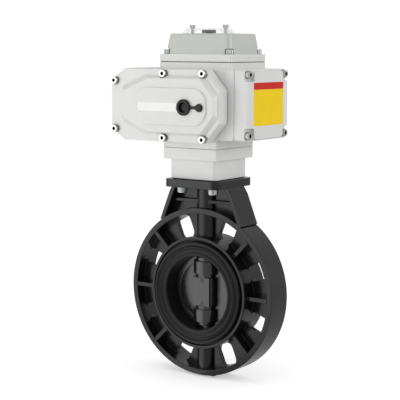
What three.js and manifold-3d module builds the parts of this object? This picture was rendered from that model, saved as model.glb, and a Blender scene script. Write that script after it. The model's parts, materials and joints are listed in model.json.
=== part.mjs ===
// Wafer butterfly valve, DN 100, with a quarter-turn electric actuator on its stem.
// Millimetres, +Z up along the stem, pipe axis along Y, front face towards -Y.
// The origin is the centre of the flat foot under the valve body, below the stem.
// Every function works from the centre of the pipe bore, and one group lifts the whole by BORE_HEIGHT.
import * as THREE from 'three';
import { mergeVertices } from 'three/addons/utils/BufferGeometryUtils.js';
import Module from 'manifold-3d';

const wasm = await Module();
wasm.setup();

// ---------------------------------------------------------------- driving dimensions
const BORE_HEIGHT = 114.5;      // foot to bore centre

// valve body
const RIM_R = 112.5;            // outer radius of the body ring
const RIM_INNER_R = 105;
const RIM_HALF = 19.2;          // half thickness of ring and tower
const HUB_R = 75;               // outer radius of the hub wall round the liner
const HUB_INNER_R = 71;
const HUB_HALF = 25;
const WEB_HALF = 3.5;
const RIB_HALF = 18.7;
const RIB_THICK = 5.6;
const BOLT_CIRCLE_R = 90;       // PCD 180
const SLOT_COUNT = 8;
const SLOT_WIDTH = 22;
const SLOT_LENGTH = 30;         // the slots run from the hub to the rim
const SLOT_CORNER = 8;
const LEDGE_HALF = 12.2;        // half depth of the shelf across the tower
const STEM_BOSS_R = 15;
const FOOT_HALF_X = 17;
const FOOT_HALF_Y = 10;
const TOWER_WALL = 6;
const FLANGE_HALF = 43;         // square top flange
const FLANGE_BOTTOM = 141;
const FLANGE_TOP = 151.5;

// trim: liner, disc, stem
const BORE_R = 48.9;
const LINER_R = 70.7;
const LINER_FACE_R = 68.3;      // the raised sealing face stops short of the hub wall
const LINER_SHOULDER = 20.5;
const LINER_HALF = 28.2;
const DISC_R = 48.65;
const DISC_HUB_R = 19.2;
const DISC_PAD_X = 13.4;        // the pads on the middle of the disc hub
const DISC_PAD_Y = 16.4;
const DISC_PAD_HALF = 19.3;
const DISC_NECK_END = 23.7;     // the hub is necked between its pads and its ends
const DISC_HUB_END = 41;
const DISC_CORE_R = 16;
const DISC_CORE_HALF = 45.6;
const STEM_R = 9;
const STEM_SQUARE = 14;
const BUSH_R = 12;

// mounting bolts, ISO 5211 F07 square of holes
const BOLT_SQUARE = 24.75;
const BOLT_R = 4;

// actuator
const NECK_HALF = 36.4;
const NECK_CORNER = 4.6;
const NECK_BOTTOM = 152.4;
const NECK_TOP = 177.9;
const BASE_HALF = 42.7;
const BASE_CORNER = 2;
const BASE_BOTTOM = 178.2;
const BASE_TOP = 193;
const HOUSING_LEFT = -104;
const HOUSING_RIGHT = 72;
const HOUSING_HALF_Y = 48;
const HOUSING_BOTTOM = 206;
const HOUSING_TOP = 296;
const WALL = 5;
const END_FACE = 94;            // outer face of the end cover
const END_SEAT = 88;            // the lower level that its screws sit on
const TOP_LEFT = -50.5;         // footprint of the top block
const TOP_RIGHT = 62.7;
const TOP_HALF_Y = 40.6;
const TOP_CORNER = 2;
const TOP_FLOOR = 293;
const TOP_SEAM = 304.1;
const TOP_FLANGE_TOP = 314.5;
const TOP_ROOF = 341;
const LIP_DEPTH = 8;            // rim of the housing behind the front cover
const COVER_BACK = -48.8;       // front cover, from its gasket to its levels
const COVER_FLANGE = -68;
const COVER_PLATEAU = -74;
const COVER_PANEL = -76;
const COVER_LEFT = -108.7;
const COVER_RIGHT = 63.2;
const COVER_BOTTOM = 202.5;
const COVER_TOP = 295.5;

// gear train: every axis lies at this height
const TRAIN_Z = 248;
const WHEEL_TEETH = 30;
const WHEEL_MODULE = 2;
const WHEEL_R = WHEEL_TEETH * WHEEL_MODULE / 2;
const WORM_PITCH_R = 9;
const WORM_X = WHEEL_R + WORM_PITCH_R;
const SPUR_MODULE = 1.2;
const EQUAL_TEETH = 20;         // worm shaft gear and hand drive gear
const IDLER_TEETH = 48;
const PINION_TEETH = 10;
const HAND_X = WORM_X - EQUAL_TEETH * SPUR_MODULE;
const IDLER_X = HAND_X - (EQUAL_TEETH + IDLER_TEETH) * SPUR_MODULE / 2;
const MOTOR_X = IDLER_X - (IDLER_TEETH + PINION_TEETH) * SPUR_MODULE / 2;
const GEAR_FRONT = -60;
const GEAR_BACK = -54;
const SHAFT_R = 14;             // output shaft
const SHAFT_TOP_R = 7;
const WORM_SHAFT_R = 5;
const HAND_SHAFT_R = 5;
const AXLE_R = 3;
const RUNNING = 0.05;           // radial running clearance
const GAP = 0.3;                // gap kept where two pieces only rest on each other
const ROUND = 16;               // segments of a small round piece
const RING = 48;                // segments of the body ring, liner and disc
const BEARING = 24;            // segments of the output bearings and the bores that hold them
const SCREW_HOLE = 8;           // segments of a screw hole or shank

// ---------------------------------------------------------------- solids
function signedVolume(geometry) {
  const p = geometry.attributes.position;
  const index = geometry.index.array;
  const [a, b, c] = [new THREE.Vector3(), new THREE.Vector3(), new THREE.Vector3()];
  let sum = 0;
  for (let i = 0; i < index.length; i += 3) {
    a.fromBufferAttribute(p, index[i]);
    b.fromBufferAttribute(p, index[i + 1]);
    c.fromBufferAttribute(p, index[i + 2]);
    sum += a.dot(b.cross(c));
  }
  return sum / 6;
}

function solid(geometry) {
  const bare = geometry.clone();
  bare.deleteAttribute('normal');
  bare.deleteAttribute('uv');
  bare.clearGroups();
  const merged = mergeVertices(bare, 1e-4);
  const triVerts = Uint32Array.from(merged.index.array);
  if (signedVolume(merged) < 0) triVerts.reverse();
  const vertProperties = Float32Array.from(merged.attributes.position.array);
  return new wasm.Manifold(new wasm.Mesh({ numProp: 3, vertProperties, triVerts }));
}

function join(...solids) {
  return solids.reduce((whole, next) => whole.add(next));
}

function cut(body, ...tools) {
  return tools.reduce((whole, tool) => whole.subtract(tool), body);
}

function geometryOf(body) {
  const mesh = body.getMesh();
  const geometry = new THREE.BufferGeometry();
  geometry.setAttribute('position', new THREE.BufferAttribute(mesh.vertProperties, 3));
  geometry.setIndex(new THREE.BufferAttribute(mesh.triVerts, 1));
  geometry.computeVertexNormals();
  return geometry;
}

function box(x0, x1, y0, y1, z0, z1) {
  const geometry = new THREE.BoxGeometry(x1 - x0, y1 - y0, z1 - z0);
  geometry.translate((x0 + x1) / 2, (y0 + y1) / 2, (z0 + z1) / 2);
  return solid(geometry);
}

// Cylinders are turned about Y by three.js, so they are stood on the wanted axis.
function rodY(r, x, z, y0, y1, segments = ROUND) {
  const geometry = new THREE.CylinderGeometry(r, r, y1 - y0, segments);
  geometry.translate(x, (y0 + y1) / 2, z);
  return solid(geometry);
}

function rodZ(r, x, y, z0, z1, segments = ROUND, topR = r) {
  const geometry = new THREE.CylinderGeometry(topR, r, z1 - z0, segments);
  geometry.rotateX(Math.PI / 2);
  geometry.translate(x, y, (z0 + z1) / 2);
  return solid(geometry);
}

function rodX(r, y, z, x0, x1, segments = ROUND) {
  const geometry = new THREE.CylinderGeometry(r, r, x1 - x0, segments);
  geometry.rotateZ(Math.PI / 2);
  geometry.translate((x0 + x1) / 2, y, z);
  return solid(geometry);
}

// Radius of a faceted hole whose flats still clear a shaft of radius r.
function holeR(r, clearance = RUNNING, segments = ROUND) {
  return (r + clearance) / Math.cos(Math.PI / segments);
}

// A closed [radius, height] profile turned about the Y axis.
function turnedY(profile, segments) {
  const points = profile.map(([r, y]) => new THREE.Vector2(r, y));
  return solid(new THREE.LatheGeometry(points, segments));
}

function ringProfile(r0, r1, y0, y1) {
  return [[r0, y0], [r1, y0], [r1, y1], [r0, y1], [r0, y0]];
}

function tubeZ(r0, r1, x, y, z0, z1, segments = ROUND) {
  return cut(rodZ(r1, x, y, z0, z1, segments), rodZ(r0, x, y, z0 - 1, z1 + 1, segments));
}

function tubeY(r0, r1, x, z, y0, y1, segments = ROUND) {
  return cut(rodY(r1, x, z, y0, y1, segments), rodY(r0, x, z, y0 - 1, y1 + 1, segments));
}

// A flat outline, extruded. Standing outlines lie in the XZ plane and are as deep as y0 to y1.
function extruded(outline, depth, curveSegments) {
  const shape = outline instanceof THREE.Shape ? outline : new THREE.Shape(vectors(outline));
  return new THREE.ExtrudeGeometry(shape, { depth, bevelEnabled: false, curveSegments });
}

function standing(outline, y0, y1, curveSegments = 3) {
  const geometry = extruded(outline, y1 - y0, curveSegments);
  geometry.rotateX(Math.PI / 2);
  geometry.translate(0, y1, 0);
  return solid(geometry);
}

function lying(outline, z0, z1, curveSegments = 3) {
  const geometry = extruded(outline, z1 - z0, curveSegments);
  geometry.translate(0, 0, z0);
  return solid(geometry);
}

function vectors(pairs) {
  return pairs.map(([x, y]) => new THREE.Vector2(x, y));
}

function roundedRect(x0, x1, y0, y1, r) {
  const shape = new THREE.Shape();
  shape.moveTo(x0 + r, y0);
  shape.lineTo(x1 - r, y0);
  shape.absarc(x1 - r, y0 + r, r, -Math.PI / 2, 0);
  shape.lineTo(x1, y1 - r);
  shape.absarc(x1 - r, y1 - r, r, 0, Math.PI / 2);
  shape.lineTo(x0 + r, y1);
  shape.absarc(x0 + r, y1 - r, r, Math.PI / 2, Math.PI);
  shape.lineTo(x0, y0 + r);
  shape.absarc(x0 + r, y0 + r, r, Math.PI, 1.5 * Math.PI);
  return shape;
}

// The skin between two outlines with the same number of points, closed by a fan at each end.
function loft(lower, upper) {
  const count = lower.length;
  const centre = (ring) => ring
    .reduce((sum, point) => sum.add(point), new THREE.Vector3())
    .divideScalar(count);
  const points = [...lower, ...upper, centre(lower), centre(upper)];
  const index = [];
  for (let i = 0; i < count; i += 1) {
    const next = (i + 1) % count;
    index.push(i, next, count + next, i, count + next, count + i);
    index.push(2 * count, next, i, 2 * count + 1, count + i, count + next);
  }
  const geometry = new THREE.BufferGeometry();
  const positions = points.flatMap((point) => point.toArray());
  geometry.setAttribute('position', new THREE.Float32BufferAttribute(positions, 3));
  geometry.setIndex(index);
  return solid(geometry);
}

// A spur gear outline, with straight flanks that leave backlash. phase turns the first tooth from +X.
function gearShape(teeth, module, phase) {
  const pitch = 2 * Math.PI / teeth;
  const r = teeth * module / 2;
  const corners = [[-0.27, -1.1], [-0.11, 0.85], [0.11, 0.85], [0.27, -1.1]];
  const points = [];
  for (let tooth = 0; tooth < teeth; tooth += 1) {
    for (const [turn, rise] of corners) {
      const angle = phase + (tooth + turn) * pitch;
      const radius = r + rise * module;
      points.push([radius * Math.cos(angle), radius * Math.sin(angle)]);
    }
  }
  return points;
}

function shifted(pairs, dx, dy) {
  return pairs.map(([x, y]) => [x + dx, y + dy]);
}

// ---------------------------------------------------------------- valve body
function slotPlace(k) {
  return (k + 0.5) * 2 * Math.PI / SLOT_COUNT;
}

function boltSlot(angle) {
  const halfDepth = WEB_HALF + 1;
  const [halfLength, halfWidth] = [SLOT_LENGTH / 2, SLOT_WIDTH / 2];
  const shape = roundedRect(-halfLength, halfLength, -halfWidth, halfWidth, SLOT_CORNER);
  const options = { depth: 2 * halfDepth, bevelEnabled: false, curveSegments: 4 };
  const geometry = new THREE.ExtrudeGeometry(shape, options);
  geometry.rotateX(Math.PI / 2);
  geometry.translate(BOLT_CIRCLE_R, halfDepth, 0);
  geometry.rotateY(-angle);
  return solid(geometry);
}

function bodyRing() {
  const rim = turnedY(ringProfile(RIM_INNER_R, RIM_R, -RIM_HALF, RIM_HALF), RING);
  const web = turnedY(ringProfile(HUB_INNER_R + 1, RIM_INNER_R + 1, -WEB_HALF, WEB_HALF), RING);
  const hub = turnedY(ringProfile(HUB_INNER_R, HUB_R, -HUB_HALF, HUB_HALF), RING);
  return join(rim, web, hub);
}

// A block that runs outwards from r0 to r1 at an angle round the bore.
function radialBlock(angle, r0, r1, width, halfDepth) {
  const geometry = new THREE.BoxGeometry(r1 - r0, 2 * halfDepth, width);
  geometry.translate((r0 + r1) / 2, 0, 0);
  geometry.rotateY(-angle);
  return solid(geometry);
}

function bodyRibs() {
  const ribs = [];
  for (const degrees of [0, 45, 135, 180, 225, 315]) {
    ribs.push(radialBlock(degrees * Math.PI / 180, HUB_R - 1, RIM_INNER_R + 1, RIB_THICK, RIB_HALF));
  }
  return join(...ribs);
}

// The neck casting: a wall round an open pocket on each face, on a middle web.
function bodyTower() {
  const outer = [[-66, 93], [66, 93], [50, 133], [44, FLANGE_BOTTOM + 1], [-44, FLANGE_BOTTOM + 1],
    [-50, 133]];
  const inner = [[-62, 88], [62, 88], [50 - TOWER_WALL, 131], [38.5, FLANGE_BOTTOM], [-38.5, FLANGE_BOTTOM],
    [-50 + TOWER_WALL, 131]];
  const block = standing(outer, -RIM_HALF, RIM_HALF);
  const frontPocket = standing(inner, -RIM_HALF - 1, -WEB_HALF);
  const backPocket = standing(inner, WEB_HALF, RIM_HALF + 1);
  const ledge = box(-46, 46, -LEDGE_HALF, LEDGE_HALF, 119, 123);
  const insideRing = rodY(RIM_INNER_R + 2, 0, 0, -RIM_HALF - 1, RIM_HALF + 1, RING);
  return cut(join(cut(block, frontPocket, backPocket), ledge), insideRing);
}

function valveBody() {
  const flange = lying(roundedRect(-FLANGE_HALF, FLANGE_HALF, -FLANGE_HALF, FLANGE_HALF, 10), FLANGE_BOTTOM,
    FLANGE_TOP);
  const upperBoss = rodZ(STEM_BOSS_R, 0, 0, HUB_R - 3, FLANGE_BOTTOM + 1);
  const lowerBoss = rodZ(STEM_BOSS_R - 1, 0, 0, -RIM_INNER_R - 2, 3 - HUB_R);
  const foot = box(-FOOT_HALF_X, FOOT_HALF_X, -FOOT_HALF_Y, FOOT_HALF_Y, -BORE_HEIGHT, -RIM_R + 3);
  let body = join(bodyRing(), bodyRibs(), bodyTower(), upperBoss, lowerBoss, foot, flange);
  body = cut(body, rodY(HUB_INNER_R, 0, 0, -HUB_HALF, HUB_HALF, RING));
  for (let k = 0; k < SLOT_COUNT; k += 1) {
    body = cut(body, boltSlot(slotPlace(k)));
  }
  for (const [x, y] of corners(BOLT_SQUARE, BOLT_SQUARE)) {
    body = cut(body, rodZ(BOLT_R + 0.5, x, y, FLANGE_BOTTOM - 1, FLANGE_TOP + 1, SCREW_HOLE));
  }
  const upperBore = rodZ(BUSH_R + 0.1, 0, 0, 100, FLANGE_TOP + 1);
  const middleBore = rodZ(STEM_R + 0.6, 0, 0, 60, 101);
  const lowerBore = rodZ(BUSH_R + 0.1, 0, 0, -BORE_HEIGHT - 1, -76);
  const lowerThroat = rodZ(STEM_R + 0.6, 0, 0, -77, -60);
  return cut(body, upperBore, middleBore, lowerBore, lowerThroat);
}

function corners(dx, dy) {
  return [[-dx, -dy], [dx, -dy], [dx, dy], [-dx, dy]];
}

// ---------------------------------------------------------------- liner, disc and stem
function seatLiner() {
  const side = [[BORE_R, LINER_HALF - 2], [BORE_R + 2, LINER_HALF], [LINER_FACE_R, LINER_HALF],
    [LINER_FACE_R, LINER_SHOULDER], [LINER_R, LINER_SHOULDER]];
  const back = side.map(([r, y]) => [r, -y]).reverse();
  const ring = turnedY([...side, ...back, side[0]], RING);
  const upperHole = rodZ(STEM_R + 0.3, 0, 0, 40, 80);
  const lowerHole = rodZ(STEM_R + 0.3, 0, 0, -80, -40);
  return cut(ring, upperHole, lowerHole);
}

// The rim is part of a sphere, so the disc clears the liner at every angle of the stem.
function discPlate() {
  const steps = 2;
  const edge = 5;
  const profile = [[0, -4]];
  profile.push([DISC_R - 7, -4]);
  for (let i = 0; i <= steps; i += 1) {
    const y = -edge + 2 * edge * i / steps;
    profile.push([Math.sqrt(DISC_R * DISC_R - y * y), y]);
  }
  profile.push([DISC_R - 7, 4], [0, 4]);
  return turnedY(profile, RING);
}

// A round hub with a flat pad on each face, necked between the pad and each end.
function valveDisc() {
  const hub = (r, z0, z1) => rodZ(r, 0, 0, z0, z1, 32);
  const trimmed = box(-DISC_HUB_R, DISC_HUB_R, -DISC_PAD_Y, DISC_PAD_Y, -DISC_PAD_HALF, DISC_PAD_HALF);
  const middle = hub(DISC_HUB_R, -DISC_PAD_HALF, DISC_PAD_HALF).intersect(trimmed);
  const pad = box(-DISC_PAD_X, DISC_PAD_X, -DISC_PAD_Y, DISC_PAD_Y, -DISC_PAD_HALF, DISC_PAD_HALF);
  const upper = hub(DISC_HUB_R, DISC_NECK_END, DISC_HUB_END);
  const lower = hub(DISC_HUB_R, -DISC_HUB_END, -DISC_NECK_END);
  const core = hub(DISC_CORE_R, -DISC_CORE_HALF, DISC_CORE_HALF);
  return cut(join(discPlate(), middle, pad, upper, lower, core), rodZ(STEM_R + 0.1, 0, 0, -60, 60));
}

function valveStem() {
  const top = STEM_SQUARE / 2;
  const square = lying(roundedRect(-top, top, -top, top, 1.5), 148, 174, 2);
  return join(rodZ(STEM_R, 0, 0, -96, 150), square);
}

function stemBush(z0, z1) {
  return tubeZ(holeR(STEM_R), BUSH_R, 0, 0, z0, z1);
}

function stemSeal() {
  return tubeZ(holeR(STEM_R), BUSH_R, 0, 0, 137, 142);
}

// Its outer face lies flush with the foot and has two holes for a pin spanner.
function lowerStemPlug() {
  const plug = rodZ(BUSH_R, 0, 0, -BORE_HEIGHT, -98);
  const spannerHoles = [-7, 7].map((x) => rodZ(1.6, x, 0, -BORE_HEIGHT - 1, -BORE_HEIGHT + 4, SCREW_HOLE));
  return cut(plug, ...spannerHoles);
}

// ---------------------------------------------------------------- fasteners
// A socket head screw is made pointing up, head at z 0 to headHeight, then stood where it goes.
function hexZ(acrossFlats, x, y, z0, z1) {
  return rodZ(acrossFlats / Math.sqrt(3), x, y, z0, z1, 6);
}

function socketScrew({ shankR, headR, headHeight, length, key }) {
  const head = rodZ(headR, 0, 0, 0, headHeight, 12);
  const shank = rodZ(shankR, 0, 0, -length, 0.5, SCREW_HOLE);
  return cut(join(head, shank), hexZ(key, 0, 0, headHeight * 0.45, headHeight + 1));
}

const M6 = { shankR: 3, headR: 5, headHeight: 6, length: 22, key: 5 };
const M6_LONG = { ...M6, length: 24 };
const M6_COVER = { ...M6, length: 14 };
const M4 = { shankR: 2, headR: 4, headHeight: 4.4, length: 10, key: 3 };
const M8 = { shankR: BOLT_R, headR: 6.5, headHeight: 8, length: 24, key: 6 };

const frontScrews = [[-102, 280], [-22.5, 290], [39.6, 290.5], [-102, 216.5], [-22.5, 207.6], [39.6, 207.6]];
const endScrews = corners(42, 38.2).map(([y, dz]) => [y, 251.2 + dz]);
const NOTCH = 7;                // height of the notch over a top screw
const TOP_INSET = 7.6;          // from the edges of the top block to its screws
const topScrews = corners(1, TOP_HALF_Y - TOP_INSET)
  .map(([side, y]) => [side < 0 ? TOP_LEFT + TOP_INSET : TOP_RIGHT - TOP_INSET, y]);
const windowScrews = [[-26.5, 0], [26.5, 0]];

// ---------------------------------------------------------------- actuator shells
function mountingShim() {
  const half = NECK_HALF - 1.5;
  let shim = lying(roundedRect(-half, half, -half, half, 5), FLANGE_TOP + 0.1, NECK_BOTTOM - 0.1);
  shim = cut(shim, rodZ(18, 0, 0, FLANGE_TOP - 1, NECK_BOTTOM + 1));
  for (const [x, y] of corners(BOLT_SQUARE, BOLT_SQUARE)) {
    shim = cut(shim, rodZ(BOLT_R + 0.5, x, y, FLANGE_TOP - 1, NECK_BOTTOM + 1, SCREW_HOLE));
  }
  return shim;
}

function mountingNeck() {
  let neck = lying(roundedRect(-NECK_HALF, NECK_HALF, -NECK_HALF, NECK_HALF, NECK_CORNER),
    NECK_BOTTOM, NECK_TOP);
  neck = cut(neck, rodZ(18.5, 0, 0, NECK_BOTTOM - 1, NECK_TOP + 1));
  for (const [x, y] of corners(BOLT_SQUARE, BOLT_SQUARE)) {
    neck = cut(neck, rodZ(BOLT_R + 0.3, x, y, NECK_BOTTOM - 1, 167, SCREW_HOLE));
  }
  return neck;
}

function gearboxBase() {
  const block = lying(roundedRect(-BASE_HALF, BASE_HALF, -BASE_HALF, BASE_HALF, BASE_CORNER), BASE_BOTTOM,
    BASE_TOP);
  const throat = rodZ(18.5, 0, 0, BASE_BOTTOM - 1, BASE_TOP + 1);
  const seat = rodZ(holeR(23), 0, 0, 183, BASE_TOP + 1, BEARING);
  return cut(block, throat, seat);
}

function housingShell() {
  const block = standing(roundedRect(HOUSING_LEFT, HOUSING_RIGHT, HOUSING_BOTTOM, HOUSING_TOP, 4),
    -HOUSING_HALF_Y, HOUSING_HALF_Y);
  const cavity = box(HOUSING_LEFT + WALL, HOUSING_RIGHT + 1, -HOUSING_HALF_Y + WALL, HOUSING_HALF_Y - WALL,
    HOUSING_BOTTOM + WALL, HOUSING_TOP - 6);
  const skirt = lying(roundedRect(-BASE_HALF, BASE_HALF, -BASE_HALF, BASE_HALF, BASE_CORNER),
    BASE_TOP + GAP, HOUSING_BOTTOM + 1);
  const frame = lying(roundedRect(TOP_LEFT, TOP_RIGHT, -TOP_HALF_Y, TOP_HALF_Y, TOP_CORNER),
    HOUSING_TOP - 1, TOP_SEAM);
  const trayEdge = 13;
  const tray = lying(roundedRect(TOP_LEFT + trayEdge, TOP_RIGHT - trayEdge, -TOP_HALF_Y + trayEdge,
    TOP_HALF_Y - trayEdge, 4), TOP_FLOOR, TOP_SEAM + 1);
  return cut(join(cut(join(block, coverLip()), cavity), skirt, frame), tray);
}

// Rim with the outline of the front cover, which is wider and lower than the box behind it.
function coverLip() {
  return loft(octagon(coverOutline, -HOUSING_HALF_Y), octagon(coverOutline, -HOUSING_HALF_Y + LIP_DEPTH));
}

function actuatorHousing() {
  const front = -HOUSING_HALF_Y;
  let body = housingShell();
  const rearBoss = rodY(15, WORM_X, TRAIN_Z, 33, HOUSING_HALF_Y - 1);
  const topBoss = rodZ(16, 0, 0, 284, TOP_FLOOR - 0.5);
  body = join(body, rearBoss, topBoss);
  body = cut(body, rodZ(18.5, 0, 0, BASE_TOP - 1, HOUSING_BOTTOM + WALL + 1));
  body = cut(body, rodZ(holeR(12), 0, 0, 283, TOP_FLOOR + 1, BEARING));
  body = cut(body, rodY(11.1, WORM_X, TRAIN_Z, front - 1, front + WALL + 1));
  body = cut(body, rodY(11.1, WORM_X, TRAIN_Z, 32, 42));
  body = cut(body, rodY(holeR(4), HAND_X, TRAIN_Z, front - 1, front + WALL + 1));
  body = cut(body, rodY(AXLE_R + 0.05, IDLER_X, TRAIN_Z, front - 1, front + WALL + 1));
  body = cut(body, rodY(5, MOTOR_X, TRAIN_Z, front - 1, front + WALL + 1));
  body = cut(body, rodY(8.2, GLAND_X, GLAND_Z, HOUSING_HALF_Y - WALL - 1, HOUSING_HALF_Y + 1));
  for (const [x, z] of frontScrews) {
    body = cut(body, rodY(M6.shankR + 0.1, x, z, front - 1, front + WALL + 1, SCREW_HOLE));
  }
  for (const [y, z] of endScrews) {
    body = join(body, rodX(6, y, z, HOUSING_RIGHT - 14, HOUSING_RIGHT, SCREW_HOLE));
    body = cut(body, rodX(M6.shankR + 0.1, y, z, HOUSING_RIGHT - 10, HOUSING_RIGHT + 1, SCREW_HOLE));
  }
  for (const [x, y] of topScrews) {
    body = cut(body, rodZ(M6.shankR + 0.1, x, y, TOP_SEAM - 7, TOP_SEAM + 1, SCREW_HOLE));
  }
  return body.intersect(housingEnvelope());
}

// Screw bosses are trimmed to the outside of the casting.
function housingEnvelope() {
  const block = box(HOUSING_LEFT, HOUSING_RIGHT, -HOUSING_HALF_Y, HOUSING_HALF_Y, HOUSING_BOTTOM,
    HOUSING_TOP);
  const middle = box(TOP_LEFT, TOP_RIGHT, -BASE_HALF, BASE_HALF, BASE_TOP, TOP_SEAM);
  return join(block, middle, coverLip());
}

// Octagon in the XZ plane at depth y, from the levels that its corners lie on.
function octagon({ left, right, bottom, top, leftRun, leftRise, rightRun, rightRise }, y) {
  const points = [[left + leftRun, bottom], [right - rightRun, bottom], [right, bottom + rightRise],
    [right, top - rightRise], [right - rightRun, top], [left + leftRun, top], [left, top - leftRise],
    [left, bottom + leftRise]];
  return points.map(([x, z]) => new THREE.Vector3(x, y, z));
}

function grown(outline, margin) {
  return { ...outline, left: outline.left - margin, right: outline.right + margin,
    bottom: outline.bottom - margin, top: outline.top + margin };
}

const coverOutline = { left: COVER_LEFT, right: COVER_RIGHT, bottom: COVER_BOTTOM, top: COVER_TOP,
  leftRun: 21, leftRise: 15, rightRun: 23, rightRise: 26 };
const plateauOutline = { left: -87, right: 58.3, bottom: 215, top: 284,
  leftRun: 43, leftRise: 18, rightRun: 20, rightRise: 23 };
const cavityOutline = grown(plateauOutline, -3);

function frontCover() {
  const flange = loft(octagon(coverOutline, COVER_BACK), octagon(coverOutline, COVER_FLANGE));
  const plateauFoot = grown(plateauOutline, 3.5);
  const plateau = loft(octagon(plateauFoot, COVER_FLANGE + 1), octagon(plateauOutline, COVER_PLATEAU));
  const panel = standing(roundedRect(-66, 48, 224.5, 272, 20), COVER_PANEL, COVER_PLATEAU + 1);
  const cavity = loft(octagon(cavityOutline, COVER_BACK + 1), octagon(cavityOutline, -66));
  let cover = cut(join(flange, plateau, panel), cavity);
  cover = cut(cover, rodY(8.1, HAND_X, TRAIN_Z, COVER_PANEL - 1, -60));
  for (const [x, z] of frontScrews) {
    cover = cut(cover, rodY(M6.shankR + 0.3, x, z, COVER_FLANGE - 1, COVER_BACK + 1, SCREW_HOLE));
    cover = cut(cover, rodY(M6.headR + 1.2, x, z, COVER_PANEL - 1, COVER_FLANGE + 1.5, 12));
  }
  return cover;
}

function frontGasket() {
  const inset = grown(coverOutline, -0.8);
  const y = [-HOUSING_HALF_Y - 0.7, -HOUSING_HALF_Y - 0.1];
  let gasket = loft(octagon(inset, y[0]), octagon(inset, y[1]));
  gasket = cut(gasket, loft(octagon(cavityOutline, y[0] - 1), octagon(cavityOutline, y[1] + 1)));
  for (const [x, z] of frontScrews) {
    gasket = cut(gasket, rodY(M6.shankR + 0.3, x, z, y[0] - 1, y[1] + 1, SCREW_HOLE));
  }
  return gasket;
}

// A plate with a raised cross on its face, which leaves a low seat for a screw at each corner.
function endCover() {
  const inner = HOUSING_RIGHT + GAP;
  const half = HOUSING_HALF_Y;
  const plate = box(inner, END_SEAT, -half, half, HOUSING_BOTTOM, HOUSING_TOP);
  const chamfer = 2.5;
  const flat = half - 11;
  const crown = [[inner + 1, -half], [END_FACE - chamfer, -half], [END_FACE, -flat], [END_FACE, flat],
    [END_FACE - chamfer, half], [inner + 1, half]];
  const across = lying(crown, 222, 281);
  const upright = box(inner + 1, END_FACE, -34, 34, HOUSING_BOTTOM + 2, HOUSING_TOP - 2);
  const cavity = box(inner - 1, END_SEAT - WALL, -half + 12, half - 12, HOUSING_BOTTOM + 12,
    HOUSING_TOP - 12);
  let cover = cut(join(plate, across, upright), cavity);
  for (const [y, z] of endScrews) {
    cover = cut(cover, rodX(M6.shankR + 0.3, y, z, inner - 1, END_FACE + 1, SCREW_HOLE));
    cover = cut(cover, rodX(M6.headR + 1, y, z, END_SEAT - 1, END_FACE + 1, 12));
  }
  return cover;
}

function roundedRing(inset, r, z) {
  const shape = roundedRect(TOP_LEFT + inset, TOP_RIGHT - inset, -TOP_HALF_Y + inset, TOP_HALF_Y - inset, r);
  return shape.getPoints(4).slice(0, -1).map((p) => new THREE.Vector3(p.x, p.y, z));
}

// The corners of the tower are notched over the screws.
function topCover() {
  const bottom = TOP_SEAM + 0.8;
  const flange = lying(roundedRect(TOP_LEFT, TOP_RIGHT, -TOP_HALF_Y, TOP_HALF_Y, TOP_CORNER), bottom,
    TOP_FLANGE_TOP);
  const tower = loft(roundedRing(4.6, 6, TOP_FLANGE_TOP - 1), roundedRing(8.6, 6, TOP_ROOF));
  const cavity = loft(roundedRing(14, 8, bottom - 1), roundedRing(15, 8, TOP_ROOF - 4));
  let cover = cut(join(flange, tower), cavity, rodZ(16, 0, 0, TOP_ROOF - 10, TOP_ROOF + 1));
  for (const [x, y] of topScrews) {
    cover = cut(cover, rodZ(M6.shankR + 0.3, x, y, bottom - 1, TOP_FLANGE_TOP + 1, SCREW_HOLE));
    cover = cut(cover, rodZ(M6.headR + 1.2, x, y, TOP_FLANGE_TOP, TOP_FLANGE_TOP + NOTCH, 12));
  }
  for (const [x, y] of windowScrews) {
    cover = cut(cover, rodZ(M4.shankR + 0.1, x, y, TOP_ROOF - 10, TOP_ROOF + 1, SCREW_HOLE));
  }
  return cover;
}

function topGasket() {
  const z = [TOP_SEAM + 0.1, TOP_SEAM + 0.7];
  const edge = 13.5;
  const outer = roundedRect(TOP_LEFT + 0.8, TOP_RIGHT - 0.8, -TOP_HALF_Y + 0.8, TOP_HALF_Y - 0.8, 1.6);
  const hole = roundedRect(TOP_LEFT + edge, TOP_RIGHT - edge, -TOP_HALF_Y + edge, TOP_HALF_Y - edge, 4);
  let gasket = cut(lying(outer, z[0], z[1]), lying(hole, z[0] - 1, z[1] + 1));
  for (const [x, y] of topScrews) {
    gasket = cut(gasket, rodZ(M6.shankR + 0.3, x, y, z[0] - 1, z[1] + 1, SCREW_HOLE));
  }
  return gasket;
}

const WINDOW_TOP = 348;

function indicatorWindow() {
  const bottom = TOP_ROOF + 0.2;
  const dome = join(rodZ(34, 0, 0, bottom, 343.5, 32), rodZ(33.6, 0, 0, 343, WINDOW_TOP, 32, 31));
  let inside = rodZ(30, 0, 0, bottom - 1, WINDOW_TOP - 1.6, 32, 28);
  for (const [x, y] of windowScrews) {
    inside = cut(inside, rodZ(M4.headR + 0.6, x, y, bottom - 2, WINDOW_TOP, 12));
  }
  let window = cut(dome, inside);
  for (const [x, y] of windowScrews) {
    window = cut(window, rodZ(M4.shankR + 0.3, x, y, bottom - 1, WINDOW_TOP + 1, SCREW_HOLE));
  }
  return window;
}

// ---------------------------------------------------------------- actuator works
const GLAND_X = -70;
const GLAND_Z = 226;

function outputShaft() {
  const lower = rodZ(17, 0, 0, 154, 182.7, BEARING);
  const body = rodZ(SHAFT_R, 0, 0, 182, 262, BEARING);
  const upper = rodZ(SHAFT_TOP_R, 0, 0, 261, 336, BEARING);
  const tip = rodZ(4, 0, 0, 335, 343);
  const half = STEM_SQUARE / 2 + 0.2;
  return cut(join(lower, body, upper, tip), box(-half, half, -half, half, 153, 175));
}

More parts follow.
